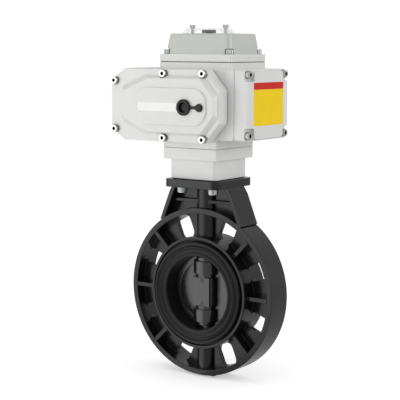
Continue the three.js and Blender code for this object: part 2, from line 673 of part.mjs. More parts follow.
function outputBearing(innerR, outerR, z0, z1) {
  return tubeZ(holeR(innerR, RUNNING, BEARING), outerR, 0, 0, z0, z1, BEARING);
}

function wormWheel() {
  const face = 5;
  const teeth = lying(gearShape(WHEEL_TEETH, WHEEL_MODULE, 0), TRAIN_Z - face, TRAIN_Z + face);
  const hub = rodZ(20, 0, 0, TRAIN_Z - 9, TRAIN_Z + 9, BEARING);
  return cut(join(teeth, hub), rodZ(SHAFT_R + 0.1, 0, 0, TRAIN_Z - 20, TRAIN_Z + 20, BEARING));
}

// A right-hand thread: rows follow the helix, and each end is a fan that steps one lead at the seam.
// The thread gap that faces the wheel is centred on y = 0.
function wormThread(halfLength) {
  const lead = Math.PI * WHEEL_MODULE;
  const root = WORM_PITCH_R - 1.1 * WHEEL_MODULE;
  const tip = WORM_PITCH_R + 0.9 * WHEEL_MODULE;
  const profile = [[-0.25, root], [0.25, root], [0.4, tip], [0.6, tip]];
  const turns = Math.ceil(halfLength / lead) + 1;
  const columns = 14;
  const rows = 2 * turns * profile.length;
  const point = (row, column) => {
    const [shift, r] = profile[row % profile.length];
    const along = Math.floor(row / profile.length) + shift - turns;
    const angle = 2 * Math.PI * column / columns;
    const y = (along + column / columns - 0.5) * lead;
    return [-r * Math.cos(angle - Math.PI), y, r * Math.sin(angle - Math.PI)];
  };
  const positions = [];
  for (let row = 0; row < rows; row += 1) {
    for (let column = 0; column < columns; column += 1) positions.push(...point(row, column));
  }
  const at = (row, column) => {
    const wrapped = column === columns ? row + profile.length : row;
    return wrapped * columns + column % columns;
  };
  const index = [];
  const last = rows - 1 - profile.length;
  for (let row = 0; row < last; row += 1) {
    for (let column = 0; column < columns; column += 1) {
      index.push(at(row, column), at(row, column + 1), at(row + 1, column + 1));
      index.push(at(row, column), at(row + 1, column + 1), at(row + 1, column));
    }
  }
  const first = positions.length / 3;
  positions.push(0, positions[1] + lead / 2, 0, 0, (turns - 1.5) * lead, 0);
  for (const [row, centre, flip] of [[0, first, true], [last, first + 1, false]]) {
    const loop = [];
    for (let column = 0; column < columns; column += 1) loop.push(at(row, column));
    for (let step = profile.length; step > 0; step -= 1) loop.push(at(row + step, 0));
    for (let i = 0; i < loop.length; i += 1) {
      const pair = [loop[i], loop[(i + 1) % loop.length]];
      index.push(centre, ...(flip ? pair.reverse() : pair));
    }
  }
  const geometry = new THREE.BufferGeometry();
  geometry.setAttribute('position', new THREE.Float32BufferAttribute(positions, 3));
  geometry.setIndex(index);
  geometry.translate(WORM_X, 0, TRAIN_Z);
  return solid(geometry);
}

function spurGear(teeth, x, phase) {
  return standing(shifted(gearShape(teeth, SPUR_MODULE, phase), x, TRAIN_Z), GEAR_FRONT, GEAR_BACK);
}

function wormShaft() {
  const thread = wormThread(14).intersect(rodY(20, WORM_X, TRAIN_Z, -14, 14));
  const shaft = rodY(WORM_SHAFT_R, WORM_X, TRAIN_Z, -61, 41);
  return join(thread, shaft, spurGear(EQUAL_TEETH, WORM_X, 0));
}

function shaftBearing(x, innerR, outerR, y0, y1) {
  return tubeY(holeR(innerR), outerR, x, TRAIN_Z, y0, y1);
}

function handDrive() {
  const gear = spurGear(EQUAL_TEETH, HAND_X, Math.PI / EQUAL_TEETH);
  const front = rodY(HAND_SHAFT_R, HAND_X, TRAIN_Z, -73, GEAR_FRONT + 1);
  const rear = rodY(4, HAND_X, TRAIN_Z, GEAR_BACK - 1, -44);
  return cut(join(gear, front, rear), rodY(5 / Math.sqrt(3), HAND_X, TRAIN_Z, -74, -67, 6));
}

function idlerGear() {
  const gear = spurGear(IDLER_TEETH, IDLER_X, 0);
  const hub = rodY(7, IDLER_X, TRAIN_Z, GEAR_FRONT - 3, GEAR_BACK + 3);
  return cut(join(gear, hub), rodY(holeR(AXLE_R), IDLER_X, TRAIN_Z, -70, -40));
}

function idlerAxle() {
  return join(rodY(AXLE_R, IDLER_X, TRAIN_Z, -64.5, -44), rodY(5, IDLER_X, TRAIN_Z, -65.7, -64.5));
}

function motorPinion() {
  const gear = spurGear(PINION_TEETH, MOTOR_X, Math.PI / PINION_TEETH);
  return join(gear, rodY(2.5, MOTOR_X, TRAIN_Z, -62, -26));
}

function motorBody() {
  const can = rodY(26, MOTOR_X, TRAIN_Z, -42.6, 18, 32);
  const rearCap = rodY(10, MOTOR_X, TRAIN_Z, 17, 26);
  return cut(join(can, rearCap), rodY(holeR(2.5, 0.1), MOTOR_X, TRAIN_Z, -44, -24));
}

// A cam disc with one raised lobe, centred at lobeAngle.
function cam(z0, z1, lobeAngle) {
  const lobeHalf = 20 * Math.PI / 180;
  const shape = new THREE.Shape();
  shape.absarc(0, 0, 12, lobeAngle + lobeHalf * 1.4, lobeAngle + 2 * Math.PI - lobeHalf * 1.4);
  shape.absarc(0, 0, 14.6, lobeAngle - lobeHalf, lobeAngle + lobeHalf);
  return cut(lying(shape, z0, z1, 9), rodZ(SHAFT_TOP_R + 0.1, 0, 0, z0 - 1, z1 + 1, BEARING));
}

function limitSwitch(bodyBottom, armBottom, armTop) {
  return join(box(27, 44, -7, 7, bodyBottom, armTop), box(15.4, 28, -3, 3, armBottom, armTop));
}

function terminalBlock() {
  let block = box(50, 64, -24, 24, HOUSING_BOTTOM + WALL + GAP, 226);
  for (let way = 0; way < 6; way += 1) {
    const y = -20 + way * 8;
    block = cut(block, rodZ(2, 57, y, 218, 227, 6));
  }
  return block;
}

function cableGland() {
  const y = HOUSING_HALF_Y;
  const thread = rodY(8, GLAND_X, GLAND_Z, y - WALL - 2, y + 1);
  const flange = rodY(12.5, GLAND_X, GLAND_Z, y + 0.2, y + 5, 6);
  const neck = rodY(10, GLAND_X, GLAND_Z, y + 4, y + 9);
  const nut = rodY(12, GLAND_X, GLAND_Z, y + 8, y + 19, 6);
  return cut(join(thread, flange, neck, nut), rodY(4.5, GLAND_X, GLAND_Z, y - 20, y + 30));
}

function positionPointer() {
  const knob = rodZ(9.3, 0, 0, 341.6, 345.9, 32);
  return cut(knob, rodZ(4.1, 0, 0, 340, 343.3));
}

// ---------------------------------------------------------------- rubber plug over the hand drive
const PLUG_R = 10.4;
const ANCHOR_X = 38.8;

function rubberPlug() {
  const lip = rodY(PLUG_R, HAND_X, TRAIN_Z, COVER_PANEL - 3.6, COVER_PANEL - 0.2, 32);
  const spigot = rodY(7.6, HAND_X, TRAIN_Z, COVER_PANEL - 1, -73.4);
  return cut(join(lip, spigot), rodY(6.3, HAND_X, TRAIN_Z, COVER_PANEL - 5, COVER_PANEL - 1.8));
}

function plugStrap() {
  const anchor = rodY(5.2, ANCHOR_X, TRAIN_Z, COVER_PANEL - 2.8, COVER_PANEL - 0.2);
  const half = 2.4;
  const strap = box(HAND_X + PLUG_R + GAP, ANCHOR_X, COVER_PANEL - 1.8, COVER_PANEL - 0.2, TRAIN_Z - half,
    TRAIN_Z + half);
  return join(anchor, strap);
}

// ---------------------------------------------------------------- materials
function paint(color, roughness, metalness = 0) {
  return new THREE.MeshStandardMaterial({ color, roughness, metalness });
}

const greyPaint = paint(0xd2d3d0, 0.45, 0.1);
const bodyPlastic = paint(0x303235, 0.55);
const linerRubber = paint(0x1b1b1c, 0.8);
const blackRubber = paint(0x141414, 0.75);
const stainless = paint(0xb9bbbd, 0.3, 1);
const steel = paint(0x8d9093, 0.35, 1);
const bronze = paint(0xb08d57, 0.4, 1);
const nylon = paint(0xe6e2d4, 0.6);
const bushPlastic = paint(0xd8d2c0, 0.6);
const clearPlastic = paint(0xe8eef0, 0.1);
const switchBlack = paint(0x222326, 0.5);
const terminalGreen = paint(0x2f7d4f, 0.5);
const motorSteel = paint(0x6f7478, 0.4, 0.8);

// ---------------------------------------------------------------- assembly
const assembly = new THREE.Group();
assembly.position.z = BORE_HEIGHT;

function place(name, body, material) {
  const mesh = new THREE.Mesh(geometryOf(body), material);
  mesh.name = name;
  assembly.add(mesh);
  return mesh;
}

// Each screw's head points along the given outward direction from its seat.
function placeScrew(name, size, seat, turn) {
  const mesh = place(name, socketScrew(size), stainless);
  mesh.position.set(...seat);
  mesh.rotation.set(...turn);
}

place('valve_body', valveBody(), bodyPlastic);
place('seat_liner', seatLiner(), linerRubber);
place('valve_disc', valveDisc(), bodyPlastic);
place('valve_stem', valveStem(), stainless);
place('upper_stem_bush', stemBush(101, 136.5), bushPlastic);
place('lower_stem_bush', stemBush(-95, -78), bushPlastic);
place('stem_seal', stemSeal(), blackRubber);
place('lower_stem_plug', lowerStemPlug(), bodyPlastic);

place('mounting_shim', mountingShim(), blackRubber);
place('mounting_neck', mountingNeck(), greyPaint);
place('gearbox_base', gearboxBase(), greyPaint);
place('actuator_housing', actuatorHousing(), greyPaint);
place('front_cover', frontCover(), greyPaint);
place('front_gasket', frontGasket(), blackRubber);
place('end_cover', endCover(), greyPaint);
place('top_cover', topCover(), greyPaint);
place('top_gasket', topGasket(), blackRubber);
place('indicator_window', indicatorWindow(), clearPlastic);

place('output_shaft', outputShaft(), steel);
place('worm_wheel', wormWheel(), bronze);
place('open_cam', cam(306, 311, Math.PI / 2), nylon);
place('closed_cam', cam(313, 318, 0), nylon);
place('position_pointer', positionPointer(), switchBlack);
place('output_bearing_lower', outputBearing(SHAFT_R, 23, 183.2, 192.8), bronze);
place('output_bearing_upper', outputBearing(SHAFT_TOP_R, 12, 284.2, 292.8), bronze);
place('worm_shaft', wormShaft(), steel);
place('worm_bearing_front', shaftBearing(WORM_X, WORM_SHAFT_R, 11, -47.8, -43.2), bronze);
place('worm_bearing_rear', shaftBearing(WORM_X, WORM_SHAFT_R, 11, 33.2, 41.6), bronze);
place('hand_drive_gear', handDrive(), steel);
place('hand_drive_bush', shaftBearing(HAND_X, HAND_SHAFT_R, 8, -72.8, -66.2), bronze);
place('idler_gear', idlerGear(), nylon);
place('idler_axle', idlerAxle(), steel);
place('motor_pinion', motorPinion(), steel);
place('motor_body', motorBody(), motorSteel);
place('open_limit_switch', limitSwitch(TOP_FLOOR + GAP, 306, 311), switchBlack);
place('closed_limit_switch', limitSwitch(311.3, 313, 318), switchBlack);
place('terminal_block', terminalBlock(), terminalGreen);
place('cable_gland', cableGland(), switchBlack);
place('rubber_plug', rubberPlug(), blackRubber);
place('plug_strap', plugStrap(), blackRubber);

const QUARTER = Math.PI / 2;
frontScrews.forEach(([x, z], i) => {
  placeScrew(`front_screw_${i + 1}`, M6_LONG, [x, COVER_FLANGE + 1.3, z], [QUARTER, 0, 0]);
});
endScrews.forEach(([y, z], i) => {
  placeScrew(`end_screw_${i + 1}`, M6, [END_SEAT - 0.7, y, z], [0, QUARTER, 0]);
});
topScrews.forEach(([x, y], i) => {
  placeScrew(`top_screw_${i + 1}`, M6_COVER, [x, y, TOP_FLANGE_TOP + 0.2], [0, 0, 0]);
});
windowScrews.forEach(([x, y], i) => {
  placeScrew(`window_screw_${i + 1}`, M4, [x, y, WINDOW_TOP + 0.1], [0, 0, 0]);
});
corners(BOLT_SQUARE, BOLT_SQUARE).forEach(([x, y], i) => {
  placeScrew(`mounting_bolt_${i + 1}`, M8, [x, y, FLANGE_BOTTOM - 0.2], [Math.PI, 0, 0]);
});

const valve = new THREE.Group();
valve.add(assembly);
export default valve;
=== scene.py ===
"""Looks for the wafer butterfly valve with a quarter-turn electric actuator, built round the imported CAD.

Shapes are made in millimetres from the centre of the pipe bore, then moved to the frame in metres.
+Z runs up the stem, the pipe runs along Y, and the front faces -Y.
"""
import json
import math
import bmesh
import bpy
from mathutils import Matrix, Vector


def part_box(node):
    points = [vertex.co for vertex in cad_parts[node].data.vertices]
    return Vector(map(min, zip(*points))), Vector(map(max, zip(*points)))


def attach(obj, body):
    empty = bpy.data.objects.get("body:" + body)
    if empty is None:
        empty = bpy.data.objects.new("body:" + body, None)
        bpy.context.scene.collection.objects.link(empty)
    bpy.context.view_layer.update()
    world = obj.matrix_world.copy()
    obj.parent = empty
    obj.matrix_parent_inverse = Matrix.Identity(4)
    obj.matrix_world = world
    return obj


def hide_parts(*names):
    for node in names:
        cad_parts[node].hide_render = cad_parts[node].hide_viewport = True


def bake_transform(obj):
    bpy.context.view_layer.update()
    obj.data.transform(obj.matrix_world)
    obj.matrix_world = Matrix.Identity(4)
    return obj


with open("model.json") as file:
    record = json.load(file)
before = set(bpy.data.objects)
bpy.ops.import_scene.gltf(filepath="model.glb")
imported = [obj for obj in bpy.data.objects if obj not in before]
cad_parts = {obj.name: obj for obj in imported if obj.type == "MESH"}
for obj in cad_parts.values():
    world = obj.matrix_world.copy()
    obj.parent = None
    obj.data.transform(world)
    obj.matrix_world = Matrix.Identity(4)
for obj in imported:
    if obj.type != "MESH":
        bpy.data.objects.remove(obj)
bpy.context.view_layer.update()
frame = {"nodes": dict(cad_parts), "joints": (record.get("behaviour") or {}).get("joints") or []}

scene = bpy.context.scene
JOINTS = {joint["name"]: joint for joint in frame["joints"]}
BORE = Vector(JOINTS["output_turn"]["pos_m"])
TO_FRAME = Matrix.Translation(BORE) @ Matrix.Scale(0.001, 4)
FINE = 128                  # sides of the body ring, liner and disc
ROUND = 48                  # sides of a boss, shaft or plug

# ---------------------------------------------------------------- sizes in millimetres
RIM_R, RIM_INNER_R, RIM_HALF = 112.5, 105, 19.2
HUB_R, HUB_INNER_R, HUB_HALF = 75, 71, 25
WEB_HALF = 3.5
RIB_HALF, RIB_THICK = 18.7, 5.6
SLOT_R, SLOT_LENGTH, SLOT_WIDTH, SLOT_CORNER = 90, 30, 22, 8
STEM_R = 9
BUSH_R = 12
FLANGE_HALF, FLANGE_BOTTOM, FLANGE_TOP, FLANGE_CORNER = 43, 141, 151.5, 10
FOOT_BOTTOM = -114.5
BOLT_SQUARE = 24.75
BORE_R = 48.9
DISC_R = 48.65
DISC_CORE_R = 16
DISC_HUB_R, DISC_HUB_START, DISC_HUB_END = 19.2, 23.7, 41
PAD_X, PAD_Y, PAD_HALF = 13.4, 16.4, 19.3
NECK_HALF, NECK_BOTTOM, NECK_TOP, NECK_CORNER = 36.4, 152.4, 177.9, 4.6
BASE_HALF, BASE_BOTTOM, BASE_TOP, BASE_CORNER = 42.7, 178.2, 193, 2
THROAT_R = 18.5                 # round way for the output shaft through neck, base and housing
HOUSING_LEFT, HOUSING_RIGHT, HOUSING_HALF_Y = -104, 72, 48
HOUSING_BOTTOM, HOUSING_TOP = 206, 296
WALL = 5
LIP_DEPTH = 8                   # rim of the housing behind the front cover
TOP_LEFT, TOP_RIGHT, TOP_HALF_Y, TOP_CORNER = -50.5, 62.7, 40.6, 2
TRAY_FLOOR, TRAY_EDGE = 293, 13 # recess under the top cover
TOP_SEAM, TOP_FLANGE_TOP, TOP_ROOF = 304.1, 314.5, 341
COVER_BACK, COVER_FLANGE, COVER_PLATEAU, COVER_PANEL = -48.8, -68, -74, -76
END_FACE, END_SEAT = 94, 88
TRAIN_Z = 248
WORM_X, HAND_X, IDLER_X, MOTOR_X = 39, 15, -25.8, -60.6
GLAND_X, GLAND_Z = -70, 226
ANCHOR_X = 38.8
PLUG_R = 10.4
GAP = 0.3                       # gap where two pieces rest on each other
WORM_BEARING_R, LOWER_BEARING_R, UPPER_BEARING_R = 11.1, 23.2, 12.2
THREAD_HOLE_R, CLEAR_HOLE_R, HEAD_POCKET_R, END_POCKET_R = 3.1, 3.3, 6.2, 5.4


# ---------------------------------------------------------------- outlines
def polar(radius, angle):
    return radius * math.cos(angle), radius * math.sin(angle)


def circle(radius, sides=ROUND, centre=(0, 0)):
    points = [polar(radius, 2 * math.pi * i / sides) for i in range(sides)]
    return [(u + centre[0], v + centre[1]) for u, v in points]


def fillet(corners, radius, steps=5):
    """A closed outline with each corner rounded. radius is one number, or one for each corner."""
    radii = radius if isinstance(radius, (list, tuple)) else [radius] * len(corners)
    points = []
    for i, (corner, r) in enumerate(zip(corners, radii)):
        here = Vector(corner)
        if r == 0:
            points.append(tuple(here))
            continue
        back = (Vector(corners[i - 1]) - here).normalized()
        ahead = (Vector(corners[(i + 1) % len(corners)]) - here).normalized()
        half = back.angle(ahead) / 2
        centre = here + (back + ahead).normalized() * r / math.sin(half)
        start = here + back * r / math.tan(half) - centre
        end = here + ahead * r / math.tan(half) - centre
        sweep = start.angle(end)
        for step in range(steps + 1):
            t = step / steps
            arm = (start * math.sin((1 - t) * sweep) + end * math.sin(t * sweep)) / math.sin(sweep)
            points.append(tuple(centre + arm))
    return points


def rectangle(u0, u1, v0, v1, r=0, steps=6):
    return fillet([(u0, v0), (u1, v0), (u1, v1), (u0, v1)], r, steps)


def octagon(left, right, bottom, top, left_run, left_rise, right_run, right_rise):
    return [(left + left_run, bottom), (right - right_run, bottom), (right, bottom + right_rise),
            (right, top - right_rise), (right - right_run, top), (left + left_run, top),
            (left, top - left_rise), (left, bottom + left_rise)]


# ---------------------------------------------------------------- solids
PLACE = {"x": lambda u, v, h: (h, u, v), "y": lambda u, v, h: (u, h, v), "z": lambda u, v, h: (u, v, h)}


def ring_at(outline, axis, height):
    return [PLACE[axis](u, v, height) for u, v in outline]


def skin(rings, closed=False):
    """A solid whose skin runs through rings of points. Open skins are capped at both ends."""
    count = len(rings[0])
    points = [point for ring in rings for point in ring]
    faces = []
    for k in range(len(rings) if closed else len(rings) - 1):
        lower, upper = k * count, (k + 1) % len(rings) * count
        for i in range(count):
            j = (i + 1) % count
            faces.append((lower + i, lower + j, upper + j, upper + i))
    if not closed:
        faces.append(tuple(range(count)))
        faces.append(tuple(range(len(points) - count, len(points))))
    mesh = bpy.data.meshes.new("solid")
    mesh.from_pydata(points, [], faces)
    shell = bmesh.new()
    shell.from_mesh(mesh)
    bmesh.ops.recalc_face_normals(shell, faces=shell.faces)
    shell.to_mesh(mesh)
    shell.free()
    obj = bpy.data.objects.new("solid", mesh)
    scene.collection.objects.link(obj)
    return obj


def prism(outline, axis, h0, h1):
    return skin([ring_at(outline, axis, h0), ring_at(outline, axis, h1)])


def block(x0, x1, y0, y1, z0, z1, r=0):
    return prism(rectangle(x0, x1, y0, y1, r), "z", z0, z1)


def square_block(half, r, z0, z1):
    return prism(rectangle(-half, half, -half, half, r), "z", z0, z1)


def rod(axis, radius, centre, h0, h1, sides=ROUND):
    return prism(circle(radius, sides, centre), axis, h0, h1)


def turned(profile, axis, centre=(0, 0), sides=ROUND, closed=False):
    """A profile of (radius, height) points turned about an axis."""
    return skin([ring_at(circle(r, sides, centre), axis, h) for r, h in profile], closed)


def turn_about(obj, axis, angle):
    obj.data.transform(Matrix.Rotation(angle, 4, axis))
    return obj


def bake(obj):
    """Replaces the mesh with what its modifiers make of it."""
    evaluated = obj.evaluated_get(bpy.context.evaluated_depsgraph_get())
    mesh = bpy.data.meshes.new_from_object(evaluated)
    obj.modifiers.clear()
    obj.data = mesh
    return obj


def combine(base, operation, tools):
    for tool in tools:
        modifier = base.modifiers.new("solid", "BOOLEAN")
        modifier.operation = operation
        modifier.solver = "MANIFOLD"
        modifier.object = tool
    bake(base)
    for tool in tools:
        bpy.data.objects.remove(tool)
    return base


def join(base, *tools):
    return combine(base, "UNION", tools)


def cut(base, *tools):
    return combine(base, "DIFFERENCE", tools)


def tidy(obj):
    """Welds doubled points and puts the faces of a flat back together."""
    shell = bmesh.new()
    shell.from_mesh(obj.data)
    bmesh.ops.remove_doubles(shell, verts=shell.verts, dist=1e-4)
    bmesh.ops.dissolve_limit(shell, angle_limit=math.radians(0.5), verts=shell.verts, edges=shell.edges)
    shell.to_mesh(obj.data)
    shell.free()
    return obj


def soften(obj, radius, sharp=35):
    """Rounds edges sharper than sharp degrees. Holes that are drilled afterwards keep a crisp rim."""
    tidy(obj)
    rounding = obj.modifiers.new("rounding", "BEVEL")
    rounding.width = radius
    rounding.segments = 3
    rounding.limit_method = "ANGLE"
    rounding.angle_limit = math.radians(sharp)
    rounding.use_clamp_overlap = False
    rounding.miter_outer = "MITER_ARC"
    return bake(obj)


def shade(obj, sharp):
    """Smooth shading that keeps flats flat and breaks at edges sharper than sharp degrees."""
    tidy(obj)
    obj.data.shade_smooth()
    obj.data.set_sharp_from_angle(angle=math.radians(sharp))
    obj.modifiers.new("normals", "WEIGHTED_NORMAL").keep_sharp = True
    bake(obj)


def piece(obj, name, material, body="root", stands_for=(), sharp=35):
    """Finishes a mesh and lets it ride a body. With no body it is left unattached."""
    shade(obj, sharp)
    obj.data.transform(TO_FRAME)
    obj.name = name
    obj.data.name = name
    obj.data.materials.clear()
    obj.data.materials.append(material)
    if body:
        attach(obj, body)
    if stands_for:
        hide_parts(*stands_for)
    return obj


# ---------------------------------------------------------------- materials
def new_material(name, slot, **values):
    """A principled material. slot is the kind of surface that the frame records for it."""
    material = bpy.data.materials.new(name)
    material["slot"] = slot
    material.use_nodes = True
    surface = material.node_tree.nodes["Principled BSDF"]
    for socket, value in values.items():
        surface.inputs[socket.replace("_", " ")].default_value = value
    return material


def surface_of(material):
    return material.node_tree.nodes["Principled BSDF"]


def add_node(material, kind, inputs=None, **settings):
    node = material.node_tree.nodes.new(kind)
    for key, value in settings.items():
        setattr(node, key, value)
    for socket, value in (inputs or {}).items():
        if isinstance(value, bpy.types.NodeSocket):
            material.node_tree.links.new(value, node.inputs[socket])
        else:
            node.inputs[socket].default_value = value
    return node


def link(material, output, target):
    material.node_tree.links.new(output, target)


def noise(material, scale, detail=3.0, stretch=(1, 1, 1)):
    """Noise in the object's own metres, so it stays on a piece that moves."""
    place = add_node(material, "ShaderNodeTexCoord")
    shape = add_node(material, "ShaderNodeMapping", {"Vector": place.outputs["Object"], "Scale": stretch})
    return add_node(material, "ShaderNodeTexNoise",
                    {"Vector": shape.outputs[0], "Scale": scale, "Detail": detail})


def ramp(material, factor, stops):
    node = add_node(material, "ShaderNodeValToRGB", {"Fac": factor})
    elements = node.color_ramp.elements
    for element, (position, colour) in zip(elements, stops):
        element.position = position
        element.color = (*colour, 1)
    return node


def add_bumps(material, *layers):
    """Stacks bump layers, each (height socket, strength, distance in metres)."""
    normal = None
    for height, strength, distance in layers:
        bump = add_node(material, "ShaderNodeBump",
                        {"Height": height, "Strength": strength, "Distance": distance})
        if normal:
            link(material, normal, bump.inputs["Normal"])
        normal = bump.outputs[0]
    link(material, normal, surface_of(material).inputs["Normal"])


def vary(material, socket, factor, low, high):
    """Runs a value of the surface between low and high as factor goes from 0 to 1."""
    spread = add_node(material, "ShaderNodeMapRange", {"Value": factor, "From Min": 0.3, "From Max": 0.7,
                                                       "To Min": low, "To Max": high})
    link(material, spread.outputs[0], surface_of(material).inputs[socket])


def tint(material, factor, dark, light):
    colours = ramp(material, factor, [(0.3, dark), (0.7, light)])
    link(material, colours.outputs[0], surface_of(material).inputs["Base Color"])


def grey_paint(name, dark, light):
    """Light grey powder coat: orange peel, a fine sparkle and faint clouding."""
    material = new_material(name, "grey_paint", Metallic=0.05, Specular_IOR_Level=0.5)
    clouds = noise(material, 22, 4)
    peel = noise(material, 900, 2)
    grit = noise(material, 4200, 2)
    tint(material, clouds.outputs[0], dark, light)
    vary(material, "Roughness", clouds.outputs[0], 0.27, 0.35)
    add_bumps(material, (peel.outputs[0], 0.25, 0.00018), (grit.outputs[0], 0.15, 0.00004))
    return material


def moulded_plastic(name, slot, dark, light, rough, gloss=0.5):
    """Glass-filled charcoal plastic: fine spark grain, flow marks and uneven sheen."""
    material = new_material(name, slot, Specular_IOR_Level=gloss)
    flow = noise(material, 34, 5, (1, 1, 0.45))
    grain = noise(material, 2600, 3)
    mottle = noise(material, 240, 4)
    tint(material, flow.outputs[0], dark, light)
    vary(material, "Roughness", mottle.outputs[0], rough - 0.05, rough + 0.07)
    add_bumps(material, (grain.outputs[0], 0.3, 0.00006), (mottle.outputs[0], 0.12, 0.0001))
    return material


def rubber(name, slot, dark, light, rough):
    """Matt rubber with a faint bloom and a dusty micro texture."""
    material = new_material(name, slot, Specular_IOR_Level=0.26)
    bloom = noise(material, 70, 5)
    pores = noise(material, 1900, 4)
    tint(material, bloom.outputs[0], dark, light)
    vary(material, "Roughness", bloom.outputs[0], rough - 0.06, rough + 0.08)
    add_bumps(material, (pores.outputs[0], 0.35, 0.00007))
    return material


def metal(name, slot, dark, light, rough, stretch=(1, 1, 12)):
    """Machined metal: tool marks drawn out along one way, and smudges in the polish."""
    material = new_material(name, slot, Metallic=1.0)
    smudge = noise(material, 160, 4)
    marks = noise(material, 1500, 3, stretch)
    tint(material, smudge.outputs[0], dark, light)
    vary(material, "Roughness", smudge.outputs[0], rough - 0.06, rough + 0.1)
    add_bumps(material, (marks.outputs[0], 0.2, 0.00003))
    return material


def nylon(name, slot, dark, light):
    material = new_material(name, slot, Subsurface_Weight=0.12, Subsurface_Radius=(0.002, 0.002, 0.0015))
    clouds = noise(material, 90, 4)
    grain = noise(material, 2400, 3)
    tint(material, clouds.outputs[0], dark, light)
    vary(material, "Roughness", clouds.outputs[0], 0.38, 0.52)
    add_bumps(material, (grain.outputs[0], 0.2, 0.00004))
    return material


def clear_plastic():
    """Polycarbonate window: see-through face on, brighter at the rim, with fine scuffs."""
    material = new_material("clear_polycarbonate", "clear_plastic", Base_Color=(0.93, 0.95, 0.95, 1))
    haze = noise(material, 60, 4)
    ripple = noise(material, 300, 2)
    slope = add_node(material, "ShaderNodeLayerWeight", {"Blend": 0.35})
    vary(material, "Roughness", haze.outputs[0], 0.08, 0.2)
    opacity = add_node(material, "ShaderNodeMapRange",
                       {"Value": slope.outputs["Facing"], "To Min": 0.06, "To Max": 0.45})
    link(material, opacity.outputs[0], surface_of(material).inputs["Alpha"])
    add_bumps(material, (ripple.outputs[0], 0.08, 0.0001))
    return material


def printed_film(name, slot, colour, rough):
    """Laminated label film: a hint of paper tooth under a satin laminate."""
    material = new_material(name, slot, Specular_IOR_Level=0.18, Coat_Weight=0.04, Coat_Roughness=0.25)
    tooth = noise(material, 1700, 3)
    fade = noise(material, 50, 3)
    tint(material, fade.outputs[0], tuple(c * 0.95 for c in colour), colour)
    vary(material, "Roughness", fade.outputs[0], rough - 0.04, rough + 0.06)
    add_bumps(material, (tooth.outputs[0], 0.1, 0.00003))
    return material


GREY = grey_paint("grey_powder_coat", (0.70, 0.706, 0.692), (0.745, 0.751, 0.737))
# A darker copy of the grey powder coat, painted shade for the tower front that the key light leaves duller
SHADED_TOWER_GREY = grey_paint("tower_powder_coat_painted_shade", (0.52, 0.535, 0.50), (0.57, 0.585, 0.55))
BODY = moulded_plastic("charcoal_plastic", "body_plastic", (0.004, 0.0044, 0.005), (0.007, 0.0074, 0.008),
                       0.21, 0.42)
DISC = moulded_plastic("disc_plastic", "body_plastic", (0.005, 0.0055, 0.006), (0.009, 0.0095, 0.010),
                       0.2, 0.95)
LINER = rubber("liner_epdm", "liner_rubber", (0.004, 0.0042, 0.0045), (0.008, 0.0082, 0.0085), 0.36)
PLUG = rubber("plug_rubber", "black_rubber", (0.005, 0.005, 0.005), (0.010, 0.010, 0.010), 0.3)
STAINLESS = metal("stainless_screw", "stainless", (0.50, 0.50, 0.50), (0.66, 0.66, 0.65), 0.2)
# Near-black steel painted into the screw sockets as shade
SOCKET_SHADE_STEEL = metal("screw_socket_painted_shade", "stainless", (0.02, 0.02, 0.021), (0.05, 0.05, 0.052), 0.45)
STEEL = metal("gear_steel", "gear_steel", (0.36, 0.37, 0.38), (0.5, 0.51, 0.52), 0.32)
BRONZE = metal("worm_wheel_bronze", "bronze", (0.48, 0.33, 0.14), (0.6, 0.43, 0.2), 0.33)
MOTOR = metal("motor_can", "motor_steel", (0.3, 0.31, 0.32), (0.4, 0.41, 0.42), 0.4)
GEAR_NYLON = nylon("gear_nylon", "nylon", (0.68, 0.66, 0.58), (0.78, 0.76, 0.68))
BUSH = nylon("bush_polymer", "bush_plastic", (0.6, 0.56, 0.45), (0.7, 0.66, 0.55))
BLACK = moulded_plastic("switch_plastic", "black_plastic", (0.012, 0.012, 0.013), (0.022, 0.022, 0.023),
                        0.4)
TERMINAL = moulded_plastic("terminal_plastic", "terminal_plastic", (0.02, 0.16, 0.07), (0.03, 0.2, 0.09),
                           0.4)
CLEAR = clear_plastic()
YELLOW = printed_film("yellow_film", "label_film", (0.93, 0.65, 0.003), 0.42)
RED = printed_film("red_film", "label_film", (0.60, 0.018, 0.010), 0.4)
WHITE = printed_film("white_film", "label_white", (0.98, 0.98, 0.975), 0.45)


# ---------------------------------------------------------------- valve body
def radial_block(degrees, r0, r1, width, half_depth):
    rib = block(r0, r1, -half_depth, half_depth, -width / 2, width / 2)
    return turn_about(rib, "Y", -math.radians(degrees))


def bolt_slot(degrees):
    """Its ends run a little under the hub and the rim, so that no sliver is left."""
    half_length, half_width = SLOT_LENGTH / 2 + 0.6, SLOT_WIDTH / 2
    outline = rectangle(SLOT_R - half_length, SLOT_R + half_length, -half_width, half_width, SLOT_CORNER, 8)
    return turn_about(prism(outline, "y", -WEB_HALF - 1, WEB_HALF + 1), "Y", -math.radians(degrees))


def ring_y(r0, r1, half):
    profile = [(r0, -half), (r1, -half), (r1, half), (r0, half)]
    return turned(profile, "y", sides=FINE, closed=True)


def body_tower():
    outer = [(-66, 93), (66, 93), (50, 133), (44, FLANGE_BOTTOM + 1), (-44, FLANGE_BOTTOM + 1), (-50, 133)]
    inner = [(-62, 88), (62, 88), (44, 131), (38.5, FLANGE_BOTTOM), (-38.5, FLANGE_BOTTOM), (-44, 131)]
    tower = prism(outer, "y", -RIM_HALF, RIM_HALF)
    front_pocket = prism(inner, "y", -RIM_HALF - 1, -WEB_HALF)
    back_pocket = prism(inner, "y", WEB_HALF, RIM_HALF + 1)
    cut(tower, front_pocket, back_pocket)
    join(tower, block(-46, 46, -12.2, 12.2, 119, 123))
    return cut(tower, rod("y", RIM_INNER_R + 2, (0, 0), -RIM_HALF - 1, RIM_HALF + 1, FINE))


def bolt_square(radius, z0, z1):
    places = [(-1, -1), (1, -1), (1, 1), (-1, 1)]
    return [rod("z", radius, (x * BOLT_SQUARE, y * BOLT_SQUARE), z0, z1) for x, y in places]


